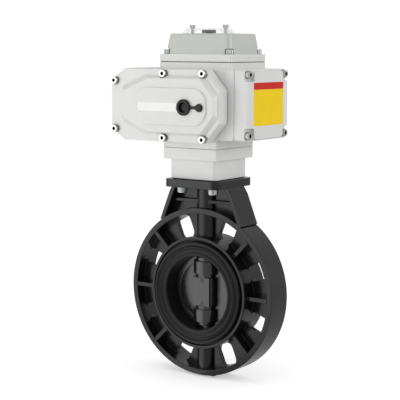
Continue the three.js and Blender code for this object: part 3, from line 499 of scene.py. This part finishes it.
def valve_body():
    body = ring_y(RIM_INNER_R, RIM_R, RIM_HALF)
    ribs = [radial_block(angle, HUB_R - 1, RIM_INNER_R + 1, RIB_THICK, RIB_HALF)
            for angle in (0, 45, 135, 180, 225, 315)]
    flange = square_block(FLANGE_HALF, FLANGE_CORNER, FLANGE_BOTTOM, FLANGE_TOP)
    upper_boss = rod("z", 15, (0, 0), HUB_R - 3, FLANGE_BOTTOM + 1)
    lower_boss = rod("z", 14, (0, 0), -RIM_INNER_R - 2, 3 - HUB_R)
    foot = block(-17, 17, -10, 10, FOOT_BOTTOM, 3 - RIM_R)
    slots = [bolt_slot(22.5 + 45 * k) for k in range(8)]
    web = cut(ring_y(HUB_INNER_R + 1, RIM_INNER_R + 1, WEB_HALF), *slots)
    hub = ring_y(HUB_INNER_R, HUB_R, HUB_HALF)
    join(body, web, hub, *ribs, body_tower(), flange, upper_boss, lower_boss, foot)
    cut(body, rod("y", HUB_INNER_R, (0, 0), -HUB_HALF - 1, HUB_HALF + 1, FINE))
    soften(body, 0.7)
    cut(body, *bolt_square(4.5, FLANGE_BOTTOM - 1, FLANGE_TOP + 1))
    cut(body, rod("z", BUSH_R + 0.1, (0, 0), 100, FLANGE_TOP + 1), rod("z", STEM_R + 0.6, (0, 0), 60, 101),
        rod("z", BUSH_R + 0.1, (0, 0), -116, -76), rod("z", STEM_R + 0.6, (0, 0), -77, -60))
    piece(body, "valve_body_casting", BODY, stands_for=["valve_body"])


def seat_liner():
    """Rubber sleeve with a rounded lip and two sealing beads on each face."""
    lip = [(BORE_R, 25.4)] + [(51.7 - 2.8 * math.cos(a), 25.4 + 2.8 * math.sin(a))
                              for a in (0.35, 0.75, 1.15, 1.57, 2.0, 2.4)]
    inner_bead = [(54.6, 26.6), (55.6, 26.5), (56.4, 27.2), (57.6, 27.95), (59.0, 28.2), (59.5, 27.6),
                  (60.0, 28.2), (61.4, 27.9), (62.5, 27.1), (63.0, 26.6)]
    outer_bead = [(63.8, 27.1), (64.9, 27.95), (66.0, 28.2), (67.3, 27.9), (68.1, 27.1), (68.3, 26.0)]
    back_step = [(68.3, 20.9), (68.6, 20.5), (70.7, 20.5)]
    side = lip + inner_bead + outer_bead + back_step
    profile = side + [(r, -y) for r, y in reversed(side)]
    liner = turned(profile, "y", sides=FINE, closed=True)
    hole = STEM_R + 0.3
    cut(liner, rod("z", hole, (0, 0), 40, 80), rod("z", hole, (0, 0), -80, -40))
    piece(liner, "seat_liner_moulding", LINER, stands_for=["seat_liner"], sharp=50)


def valve_disc():
    """Plate with a ball-ground edge on a stepped hub, with a flat pad on each face."""
    edge = [(math.sqrt(DISC_R ** 2 - y * y), y) for y in (-5, -3.4, -1.7, 0, 1.7, 3.4, 5)]
    disc = turned([(1, -4), (41, -4), (42, -4.3)] + edge + [(42, 4.3), (41, 4), (1, 4)], "y", sides=FINE)
    pad = rod("z", DISC_HUB_R, (0, 0), -PAD_HALF, PAD_HALF, FINE)
    cut(pad, block(-20, 20, -20, -PAD_Y, -20, 20), block(-20, 20, PAD_Y, 20, -20, 20))
    join(pad, block(-PAD_X, PAD_X, -PAD_Y, PAD_Y, -PAD_HALF, PAD_HALF))
    notches = [block(0.5, 4.5, side * PAD_Y - 4, side * PAD_Y + 4, z0, z0 + 6)
               for side in (-1, 1) for z0 in (-19.5, 13.6)]
    cut(pad, *notches)
    tip = [(r, math.sqrt(DISC_R ** 2 - r * r)) for r in (DISC_CORE_R, 14, 12, 9.5)]
    core = turned([(r, -h) for r, h in reversed(tip)] + tip, "z", sides=FINE)
    hubs = [rod("z", DISC_HUB_R, (0, 0), z0, z1, FINE)
            for z0, z1 in ((DISC_HUB_START, DISC_HUB_END), (-DISC_HUB_END, -DISC_HUB_START))]
    join(disc, pad, *hubs, core)
    soften(disc, 0.5)
    cut(disc, rod("z", STEM_R + 0.1, (0, 0), -60, 60))
    piece(disc, "valve_disc_casting", DISC, "output", ["valve_disc"])


def lower_stem_plug():
    plug = soften(rod("z", BUSH_R, (0, 0), FOOT_BOTTOM, -98), 0.3)
    cut(plug, *[rod("z", 1.6, (x, 0), -116, -110.5, 24) for x in (-7, 7)])
    piece(plug, "lower_stem_plug_moulding", BODY, stands_for=["lower_stem_plug"])


# ---------------------------------------------------------------- actuator shells
def mounting_neck():
    neck = soften(square_block(NECK_HALF, NECK_CORNER, NECK_BOTTOM, NECK_TOP), 0.5)
    cut(neck, rod("z", THROAT_R, (0, 0), NECK_BOTTOM - 1, NECK_TOP + 1))
    cut(neck, *bolt_square(4.3, NECK_BOTTOM - 1, 167))
    piece(neck, "mounting_neck_casting", GREY, stands_for=["mounting_neck"])


def gearbox_base():
    base = soften(square_block(BASE_HALF, BASE_CORNER, BASE_BOTTOM, BASE_TOP), 0.6)
    cut(base, rod("z", THROAT_R, (0, 0), BASE_BOTTOM - 1, BASE_TOP + 1))
    cut(base, rod("z", LOWER_BEARING_R, (0, 0), 183, BASE_TOP + 1))
    piece(base, "gearbox_base_casting", GREY, stands_for=["gearbox_base"])


def screw_centre(name, axis):
    """The two coordinates of a screw across its own axis, in millimetres from the bore centre."""
    low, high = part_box(name)
    middle = TO_FRAME.inverted() @ ((low + high) / 2)
    return {"x": (middle.y, middle.z), "y": (middle.x, middle.z), "z": (middle.x, middle.y)}[axis]


def numbered(stem, count):
    return [f"{stem}_{i + 1}" for i in range(count)]


FRONT_SCREWS = numbered("front_screw", 6)
END_SCREWS = numbered("end_screw", 4)
TOP_SCREWS = numbered("top_screw", 4)
WINDOW_SCREWS = numbered("window_screw", 2)
MOUNTING_BOLTS = numbered("mounting_bolt", 4)


def screw_holes(names, axis, radius, h0, h1, sides=24):
    return [rod(axis, radius, screw_centre(name, axis), h0, h1, sides) for name in names]


def top_outline(inset, r):
    return rectangle(TOP_LEFT + inset, TOP_RIGHT - inset, inset - TOP_HALF_Y, TOP_HALF_Y - inset, r, 8)


# Outline of the front cover, and of the rim behind it.
COVER = octagon(-108.7, 63.2, 202.5, 295.5, 21, 15, 23, 26)


def actuator_housing():
    front = -HOUSING_HALF_Y
    box = rectangle(HOUSING_LEFT, HOUSING_RIGHT, HOUSING_BOTTOM, HOUSING_TOP, 4)
    shell = prism(box, "y", front, -front)
    join(shell, square_block(BASE_HALF, BASE_CORNER, BASE_TOP + GAP, HOUSING_BOTTOM + 1),
         prism(top_outline(0, TOP_CORNER), "z", HOUSING_TOP - 1, TOP_SEAM),
         prism(fillet(COVER, 3), "y", front, front + LIP_DEPTH))
    soften(shell, 0.6)
    cut(shell, block(HOUSING_LEFT + WALL, HOUSING_RIGHT + 1, front + WALL, -front - WALL,
                     HOUSING_BOTTOM + WALL, HOUSING_TOP - 6))
    cut(shell, prism(top_outline(TRAY_EDGE, 4), "z", TRAY_FLOOR, TOP_SEAM + 1))
    join(shell, rod("y", 15, (WORM_X, TRAIN_Z), 33, HOUSING_HALF_Y - 1),
         rod("z", 16, (0, 0), 284, TRAY_FLOOR - 0.5))
    cut(shell, rod("z", THROAT_R, (0, 0), BASE_TOP - 1, HOUSING_BOTTOM + WALL + 1),
        rod("z", UPPER_BEARING_R, (0, 0), 283, TRAY_FLOOR + 1))
    holes = [(WORM_X, WORM_BEARING_R), (HAND_X, 4.2), (IDLER_X, 3.05), (MOTOR_X, 5)]
    cut(shell, *[rod("y", r, (x, TRAIN_Z), front - 1, front + WALL + 1) for x, r in holes])
    cut(shell, rod("y", WORM_BEARING_R, (WORM_X, TRAIN_Z), 32, 42),
        rod("y", 8.2, (GLAND_X, GLAND_Z), 42, 49))
    cut(shell, *screw_holes(FRONT_SCREWS, "y", THREAD_HOLE_R, front - 1, front + WALL + 1))
    cut(shell, *screw_holes(TOP_SCREWS, "z", THREAD_HOLE_R, TOP_SEAM - 7, TOP_SEAM + 1))
    join(shell, *screw_holes(END_SCREWS, "x", 6, HOUSING_RIGHT - 14, HOUSING_RIGHT))
    cut(shell, *screw_holes(END_SCREWS, "x", THREAD_HOLE_R, HOUSING_RIGHT - 10, HOUSING_RIGHT + 1))
    piece(shell, "actuator_housing_casting", GREY, stands_for=["actuator_housing"])


# The raised middle of the front cover, the foot of its slope, and the hollow behind it.
PLATEAU = octagon(-87, 58.3, 215, 284, 43, 18, 20, 23)
PLATEAU_FOOT = octagon(-90.5, 61.1, 211.5, 287.5, 36, 15, 20, 23)
CAVITY = octagon(-84, 55.3, 218, 281, 43, 18, 20, 23)


def front_cover():
    """Bolted lid: a deep flange, a plateau with soft shoulders and a low panel with round ends."""
    cover = prism(fillet(COVER, 3), "y", COVER_FLANGE, COVER_BACK)
    levels = [(PLATEAU_FOOT, COVER_FLANGE + 1), (PLATEAU_FOOT, COVER_FLANGE), (PLATEAU, COVER_PLATEAU)]
    join(cover, skin([ring_at(fillet(outline, 6), "y", y) for outline, y in levels]),
         prism(rectangle(-66, 48, 224.5, 272, 20, 16), "y", COVER_PANEL, COVER_PLATEAU + 1))
    soften(cover, 0.8, 24)
    cut(cover, prism(CAVITY, "y", -66, COVER_BACK + 1))
    cut(cover, rod("y", 8.1, (HAND_X, TRAIN_Z), COVER_PANEL - 1, -60))
    cut(cover, *screw_holes(FRONT_SCREWS, "y", CLEAR_HOLE_R, COVER_FLANGE - 1, COVER_BACK + 1))
    cut(cover, *screw_holes(FRONT_SCREWS, "y", HEAD_POCKET_R, COVER_PANEL - 1, COVER_FLANGE + 1.5, ROUND))
    piece(cover, "front_cover_casting", GREY, stands_for=["front_cover"], sharp=24)


def end_cover():
    """Side lid with a low seat for a screw at each corner."""
    inner, half = HOUSING_RIGHT + GAP, HOUSING_HALF_Y
    crown = [(inner + 1, -half), (END_FACE - 2.5, -half), (END_FACE, 11 - half), (END_FACE, half - 11),
             (END_FACE - 2.5, half), (inner + 1, half)]
    lid = prism(rectangle(-half, half, HOUSING_BOTTOM, HOUSING_TOP, 3), "x", inner, END_SEAT)
    join(lid, prism(crown, "z", 222, 281),
         prism(rectangle(-34, 34, HOUSING_BOTTOM + 2, HOUSING_TOP - 2, 6), "x", inner + 1, END_FACE))
    soften(lid, 0.8, 24)
    cut(lid, block(inner - 1, END_SEAT - WALL, 12 - half, half - 12,
                   HOUSING_BOTTOM + 12, HOUSING_TOP - 12))
    cut(lid, *screw_holes(END_SCREWS, "x", CLEAR_HOLE_R, inner - 1, END_FACE + 1))
    cut(lid, *screw_holes(END_SCREWS, "x", END_POCKET_R, END_SEAT - 1, END_FACE + 1, ROUND))
    piece(lid, "end_cover_casting", GREY, stands_for=["end_cover"], sharp=24)


def top_cover():
    """Flanged lid with a tapered tower, whose corners are notched over the screws."""
    bottom = TOP_SEAM + 0.8
    cover = prism(top_outline(0, TOP_CORNER), "z", bottom, TOP_FLANGE_TOP)
    sides = [(4.6, 6, TOP_FLANGE_TOP - 1), (8.35, 6, TOP_ROOF - 1.8), (8.7, 6, TOP_ROOF - 0.8),
             (9.3, 5.6, TOP_ROOF - 0.2), (10.1, 5.2, TOP_ROOF)]
    join(cover, skin([ring_at(top_outline(inset, r), "z", z) for inset, r, z in sides]))
    soften(cover, 0.6, 24)
    inside = [(14, 8, bottom - 1), (15, 8, TOP_ROOF - 4)]
    cut(cover, skin([ring_at(top_outline(inset, r), "z", z) for inset, r, z in inside]))
    cut(cover, rod("z", 16, (0, 0), TOP_ROOF - 10, TOP_ROOF + 1))
    cut(cover, *screw_holes(TOP_SCREWS, "z", CLEAR_HOLE_R, bottom - 1, TOP_FLANGE_TOP + 1))
    cut(cover, *screw_holes(TOP_SCREWS, "z", HEAD_POCKET_R, TOP_FLANGE_TOP, TOP_FLANGE_TOP + 7, ROUND))
    cut(cover, *screw_holes(WINDOW_SCREWS, "z", 2.1, TOP_ROOF - 10, TOP_ROOF + 1))
    lid = piece(cover, "top_cover_casting", GREY, stands_for=["top_cover"], sharp=24)
    # Faces above the flange take the darker grey copy as painted shade on the tower
    lid.data.materials.append(SHADED_TOWER_GREY)
    shoulder = (TO_FRAME @ Vector((0, 0, TOP_FLANGE_TOP + 0.3))).z
    for face in lid.data.polygons:
        face.material_index = int(face.center.z > shoulder)


def indicator_window():
    low = TOP_ROOF + 0.2
    wall = [(33.4, low), (34, low + 0.5), (34, 343)]
    crown = [(33.6, 343.5), (32.6, 345.6), (31.4, 347.2), (30.2, 347.8), (29, 348)]
    window = turned(wall + crown, "z", sides=FINE)
    inside = turned([(30, low - 1), (30, 345), (29, 346), (27.5, 346.4)], "z", sides=FINE)
    cut(inside, *screw_holes(WINDOW_SCREWS, "z", 4.6, low - 2, 349))
    cut(window, inside)
    cut(window, *screw_holes(WINDOW_SCREWS, "z", 2.3, low - 1, 349))
    piece(window, "indicator_window_moulding", CLEAR, stands_for=["indicator_window"])


def position_pointer():
    knob = turned([(9.3, 341.6), (9.3, 345.0), (9.0, 345.6), (8.3, 345.9)], "z", sides=64)
    cut(knob, rod("z", 4.1, (0, 0), 340, 343.3))
    piece(knob, "position_pointer_moulding", BLACK, "output", ["position_pointer"])


# ---------------------------------------------------------------- screws
def socket_screw(shank_r, head_r, head_h, length, key):
    """Points up, with its seat at height 0. The head has a knurl, a chamfer and a hexagon socket."""
    teeth = 36
    knurl = [polar(head_r - (0.14 if i % 2 else 0), math.pi * i / teeth) for i in range(2 * teeth)]
    rim = circle(head_r - 0.5, 2 * teeth)
    rings = [(circle(head_r - 0.3, 2 * teeth), 0), (knurl, 0.3), (knurl, head_h - 0.8), (rim, head_h)]
    head = skin([ring_at(outline, "z", h) for outline, h in rings])
    join(head, turned([(shank_r * 0.8, -length), (shank_r, 0.6 - length), (shank_r, 0.2)], "z", sides=24))
    hexagon = circle(key / math.sqrt(3), 6)
    wide = [(u * 1.08, v * 1.08) for u, v in hexagon]
    floor = [(u * 0.2, v * 0.2) for u, v in hexagon]
    depth = head_h * 0.45
    levels = [(floor, depth - 0.8), (hexagon, depth), (hexagon, head_h - 0.35), (wide, head_h),
              (wide, head_h + 1)]
    return cut(head, skin([ring_at(outline, "z", h) for outline, h in levels]))


M6 = {"shank_r": 3, "head_r": 5, "head_h": 6, "key": 4.4}
M4 = {"shank_r": 2, "head_r": 4, "head_h": 4.4, "key": 3}
M8 = {"shank_r": 4, "head_r": 6.5, "head_h": 8, "key": 6}
SCREW_SETS = [(FRONT_SCREWS, M6, Vector((0, -1, 0))), (END_SCREWS, M6, Vector((1, 0, 0))),
              (TOP_SCREWS, M6, Vector((0, 0, 1))), (WINDOW_SCREWS, M4, Vector((0, 0, 1))),
              (MOUNTING_BOLTS, M8, Vector((0, 0, -1)))]


def screws():
    """Each screw stands where its CAD node is, with its length."""
    for names, size, outward in SCREW_SETS:
        for spin, name in enumerate(names):
            low, high = (TO_FRAME.inverted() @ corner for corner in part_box(name))
            long_side = abs((high - low).dot(outward))
            screw = socket_screw(length=long_side - size["head_h"], **size)
            middle = (low + high) / 2
            seat = middle + outward * (long_side / 2 - size["head_h"])
            facing = outward.to_track_quat("Z", "Y").to_matrix().to_4x4()
            screw.data.transform(Matrix.Translation(seat) @ facing @ Matrix.Rotation(0.4 * spin, 4, "Z"))
            piece(screw, f"{name}_turned", STAINLESS, stands_for=[name], sharp=28)
            # Paints shade into the socket and a darker steel round the knurled side
            paint_socket_shade(screw, TO_FRAME @ seat, outward, size["key"])


SOCKET_SHARE = 0.6      # of the key's width: how far from the axis a face still belongs to the socket
FACES_OUT = 0.3         # cosine under which a face belongs to the knurled side


def paint_socket_shade(screw, seat, outward, key):
    """Painted shade: the socket faces take a near-black steel for the shade deep in the hexagon, and the
    knurled side takes the darker gear steel for the shade round the head, leaving the ring round the socket
    brightest.
    """
    screw.data.materials.append(SOCKET_SHADE_STEEL)
    # The gear steel doubles as painted shade on the knurled side of each head
    screw.data.materials.append(STEEL)
    arms = [vertex.co - seat for vertex in screw.data.vertices]
    across = [(arm - outward * arm.dot(outward)).length * 1000 for arm in arms]
    for face in screw.data.polygons:
        if max(across[i] for i in face.vertices) < key * SOCKET_SHARE:
            face.material_index = 1
        elif face.normal.dot(outward) < FACES_OUT:
            face.material_index = 2


# ---------------------------------------------------------------- rubber plug, strap, gland and labels
def rubber_plug():
    """A collar that presses into the cover, a round flange and a deep cup in its face."""
    face = COVER_PANEL - 3.6
    back = COVER_PANEL - 0.2
    collar = [(7.2, -73.4), (7.6, -73.9), (7.6, back)]
    flange = [(9.9, back), (PLUG_R, back - 0.6), (PLUG_R, face + 1.1), (10.0, face + 0.35), (9.1, face),
              (7.0, face)]
    cup = [(6.4, face + 0.3), (6.0, face + 1.0), (5.6, face + 3.8), (4.6, face + 4.5), (0.6, face + 4.6)]
    piece(turned(collar + flange + cup, "y", (HAND_X, TRAIN_Z), 64), "rubber_plug_moulding", PLUG, "plug",
          ["rubber_plug"], sharp=60)


def strap_half_width(x, start, end):
    """Narrowest in the middle of the tongue, and wide where it meets the plug and the button."""
    return 1.8 + 1.3 * abs(2 * (x - start) / (end - start) - 1) ** 2.5


def plug_strap():
    """A button pressed into the cover, and a tongue that stretches from it to the plug."""
    back, face = COVER_PANEL - 0.2, COVER_PANEL - 1.8
    profile = [(5.2, back), (5.2, back - 1.4), (4.9, back - 2.1), (4.0, back - 2.6), (1, back - 2.6)]
    button = turned(profile, "y", (ANCHOR_X, TRAIN_Z))
    piece(button, "strap_button", PLUG, stands_for=["plug_strap"])
    start, end, steps = HAND_X + PLUG_R - 0.3, ANCHOR_X - 4.4, 24
    rings = []
    for step in range(steps + 1):
        x = start + (end - start) * step / steps
        half = strap_half_width(x, start, end)
        rings.append(ring_at(rectangle(face, back, TRAIN_Z - half, TRAIN_Z + half, 0.5, 3), "x", x))
    tongue = piece(skin(rings), "strap_tongue", PLUG, body=None)
    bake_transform(tongue)


def gland_nut(r, h0, h1):
    """A hexagon with its corners turned off."""
    apothem, sixth = r * math.cos(math.pi / 6), math.pi / 3

    def turned_down(inset):
        points = []
        for i in range(96):
            angle = 2 * math.pi * i / 96
            off_flat = (angle + sixth / 2) % sixth - sixth / 2
            points.append(polar(min(r - inset, apothem / math.cos(off_flat)), angle))
        return points

    rings = []
    for inset, h in [(1.0, h0), (0.1, h0 + 0.7), (0.1, h1 - 0.7), (1.0, h1)]:
        rings.append(ring_at([(u + GLAND_X, v + GLAND_Z) for u, v in turned_down(inset)], "y", h))
    return skin(rings)


def cable_gland():
    centre = (GLAND_X, GLAND_Z)
    y = HOUSING_HALF_Y
    gland = rod("y", 8, centre, y - WALL - 2, y + 1)
    join(gland, gland_nut(12.5, y + 0.2, y + 5), rod("y", 10, centre, y + 4, y + 9),
         gland_nut(12, y + 8, y + 19))
    cut(gland, rod("y", 4.5, centre, y - 20, y + 30))
    piece(gland, "cable_gland_moulding", BLACK, stands_for=["cable_gland"])


def labels():
    """A blank white strip on the front panel, and a plain yellow card with a red band on the end cover."""
    film = 0.15
    strip = prism(rectangle(-59.2, 12, 242, 253, 0.8, 4), "y", COVER_PANEL - film, COVER_PANEL + 0.01)
    reach = rod("y", 10.9, (HAND_X, TRAIN_Z), COVER_PANEL - 1, COVER_PANEL + 1, 64)
    piece(cut(strip, reach), "front_blank_strip", WHITE)
    card = prism(rectangle(-36, 33.4, 225, 270.6, 0), "x", END_FACE - 0.01, END_FACE + film)
    piece(card, "end_card", YELLOW)
    band = prism(rectangle(-36, 33.4, 270.7, 279.4, 0), "x", END_FACE - 0.01, END_FACE + film)
    piece(band, "end_card_band", RED)


# ---------------------------------------------------------------- carried-over CAD nodes
CARRIED = {
    STAINLESS: ["valve_stem"],
    BUSH: ["upper_stem_bush", "lower_stem_bush", "hand_drive_bush"],
    PLUG: ["stem_seal", "mounting_shim", "front_gasket", "top_gasket"],
    STEEL: ["output_shaft", "worm_shaft", "hand_drive_gear", "motor_pinion", "idler_axle",
            "output_bearing_lower", "output_bearing_upper", "worm_bearing_front", "worm_bearing_rear"],
    BRONZE: ["worm_wheel"],
    GEAR_NYLON: ["open_cam", "closed_cam", "idler_gear"],
    MOTOR: ["motor_body"],
    BLACK: ["open_limit_switch", "closed_limit_switch"],
    TERMINAL: ["terminal_block"],
}


def finish_carried_nodes():
    for material, names in CARRIED.items():
        for name in names:
            node = frame["nodes"][name]
            node.data.materials.clear()
            node.data.materials.append(material)
            edge = node.modifiers.new("edge", "BEVEL")
            edge.width = 0.0002
            edge.segments = 2
            edge.limit_method = "ANGLE"
            edge.angle_limit = math.radians(40)


for build in (valve_body, seat_liner, valve_disc, lower_stem_plug, mounting_neck, gearbox_base,
              actuator_housing, front_cover, end_cover, top_cover, indicator_window, position_pointer,
              screws, rubber_plug, plug_strap, cable_gland, labels, finish_carried_nodes):
    build()


# ---------------------------------------------------------------- floor, light and camera
KEY_SIDE = Vector((-0.58, -0.81, -0.05)).normalized()   # towards the brightest part of the room
GLOW_START, GLOW_END = 0.8, 0.96    # cosine from KEY_SIDE at which the glow begins, and is full
WALL_LIGHT, KEY_LIGHT = 0.63, 1.38  # the white room, and its lit side
FLOOR_LIGHT, FLOOR_KEY_LIGHT = 0.55, 1.45
BACKDROP = 1.15                     # what the camera sees behind the valve
CAMERA_PLACE = (0.9483, -1.3549, 0.4421)
CAMERA_ANGLES = (82.899, -0.181, 35.394)     # degrees about X, Y and Z: tilt, a slight roll, and heading
CAMERA_LENS, CAMERA_SENSOR = 112.8, 36
AIM = Vector((0, 0, 0.23))          # what the softboxes point at, half way up the valve


def lit_side(tree, direction, low, high):
    """Brightness that rises smoothly from low to high towards the key side."""
    toward = tree.nodes.new("ShaderNodeVectorMath")
    toward.operation = "DOT_PRODUCT"
    toward.inputs[1].default_value = KEY_SIDE
    tree.links.new(direction, toward.inputs[0])
    glow = tree.nodes.new("ShaderNodeMapRange")
    glow.interpolation_type = "SMOOTHSTEP"
    glow_range = {"From Min": GLOW_START, "From Max": GLOW_END, "To Min": low, "To Max": high}
    for socket, value in glow_range.items():
        glow.inputs[socket].default_value = value
    tree.links.new(toward.outputs["Value"], glow.inputs["Value"])
    return glow.outputs[0]


def floor():
    """A pale floor that takes a soft shadow. It throws more light up on the key side."""
    mesh = bpy.data.meshes.new("floor")
    mesh.from_pydata([(-9, -9, 0), (9, -9, 0), (9, 9, 0), (-9, 9, 0)], [], [(0, 1, 2, 3)])
    obj = bpy.data.objects.new("floor", mesh)
    scene.collection.objects.link(obj)
    material = new_material("pale_floor", "floor", Base_Color=(0.9, 0.9, 0.9, 1), Roughness=0.9,
                            Emission_Color=(1, 1, 1, 1), Emission_Strength=0.42)
    tree = material.node_tree
    place = add_node(material, "ShaderNodeNewGeometry")
    outward = add_node(material, "ShaderNodeVectorMath", {0: place.outputs["Position"]},
                       operation="NORMALIZE")
    card = add_node(material, "ShaderNodeEmission")
    strength = lit_side(tree, outward.outputs[0], FLOOR_LIGHT, FLOOR_KEY_LIGHT)
    link(material, strength, card.inputs["Strength"])
    rays = add_node(material, "ShaderNodeLightPath")
    seen = add_node(material, "ShaderNodeMixShader",
                    {"Fac": rays.outputs["Is Camera Ray"], 1: card.outputs[0],
                     2: surface_of(material).outputs[0]})
    link(material, seen.outputs[0], tree.nodes["Material Output"].inputs["Surface"])
    mesh.materials.append(material)


def white_world():
    """A white room that is brightest to the front left. The camera sees plain white behind the valve."""
    world = bpy.data.worlds.new("studio")
    scene.world = world
    world.use_nodes = True
    tree = world.node_tree
    background = tree.nodes["Background"]
    background.inputs["Color"].default_value = (1, 1, 1, 1)
    place = tree.nodes.new("ShaderNodeTexCoord")
    rays = tree.nodes.new("ShaderNodeLightPath")
    seen = tree.nodes.new("ShaderNodeMix")
    seen.inputs["B"].default_value = BACKDROP
    tree.links.new(rays.outputs["Is Camera Ray"], seen.inputs["Factor"])
    tree.links.new(lit_side(tree, place.outputs["Generated"], WALL_LIGHT, KEY_LIGHT), seen.inputs["A"])
    tree.links.new(seen.outputs[0], background.inputs["Strength"])


def softbox(name, place, power, width, height):
    data = bpy.data.lights.new(name, "AREA")
    data.shape = "RECTANGLE"
    data.size, data.size_y = width, height
    data.energy = power
    lamp = bpy.data.objects.new(name, data)
    scene.collection.objects.link(lamp)
    lamp.location = place
    lamp.rotation_euler = (AIM - Vector(place)).to_track_quat("-Z", "Y").to_euler()


def camera():
    data = bpy.data.cameras.new("camera")
    obj = bpy.data.objects.new("camera", data)
    scene.collection.objects.link(obj)
    obj.location = CAMERA_PLACE
    obj.rotation_euler = [math.radians(angle) for angle in CAMERA_ANGLES]
    data.sensor_width = CAMERA_SENSOR
    data.lens = CAMERA_LENS
    scene.camera = obj


floor()
white_world()
softbox("key", (-1.2, -1.5, 0.5), 3, 0.9, 1.1)
softbox("top", (-0.2, -0.4, 1.7), 2, 0.9, 0.9)
softbox("fill", (1.6, 0.15, 0.7), 8, 0.8, 0.8)
camera()
scene.view_settings.view_transform = "Standard"
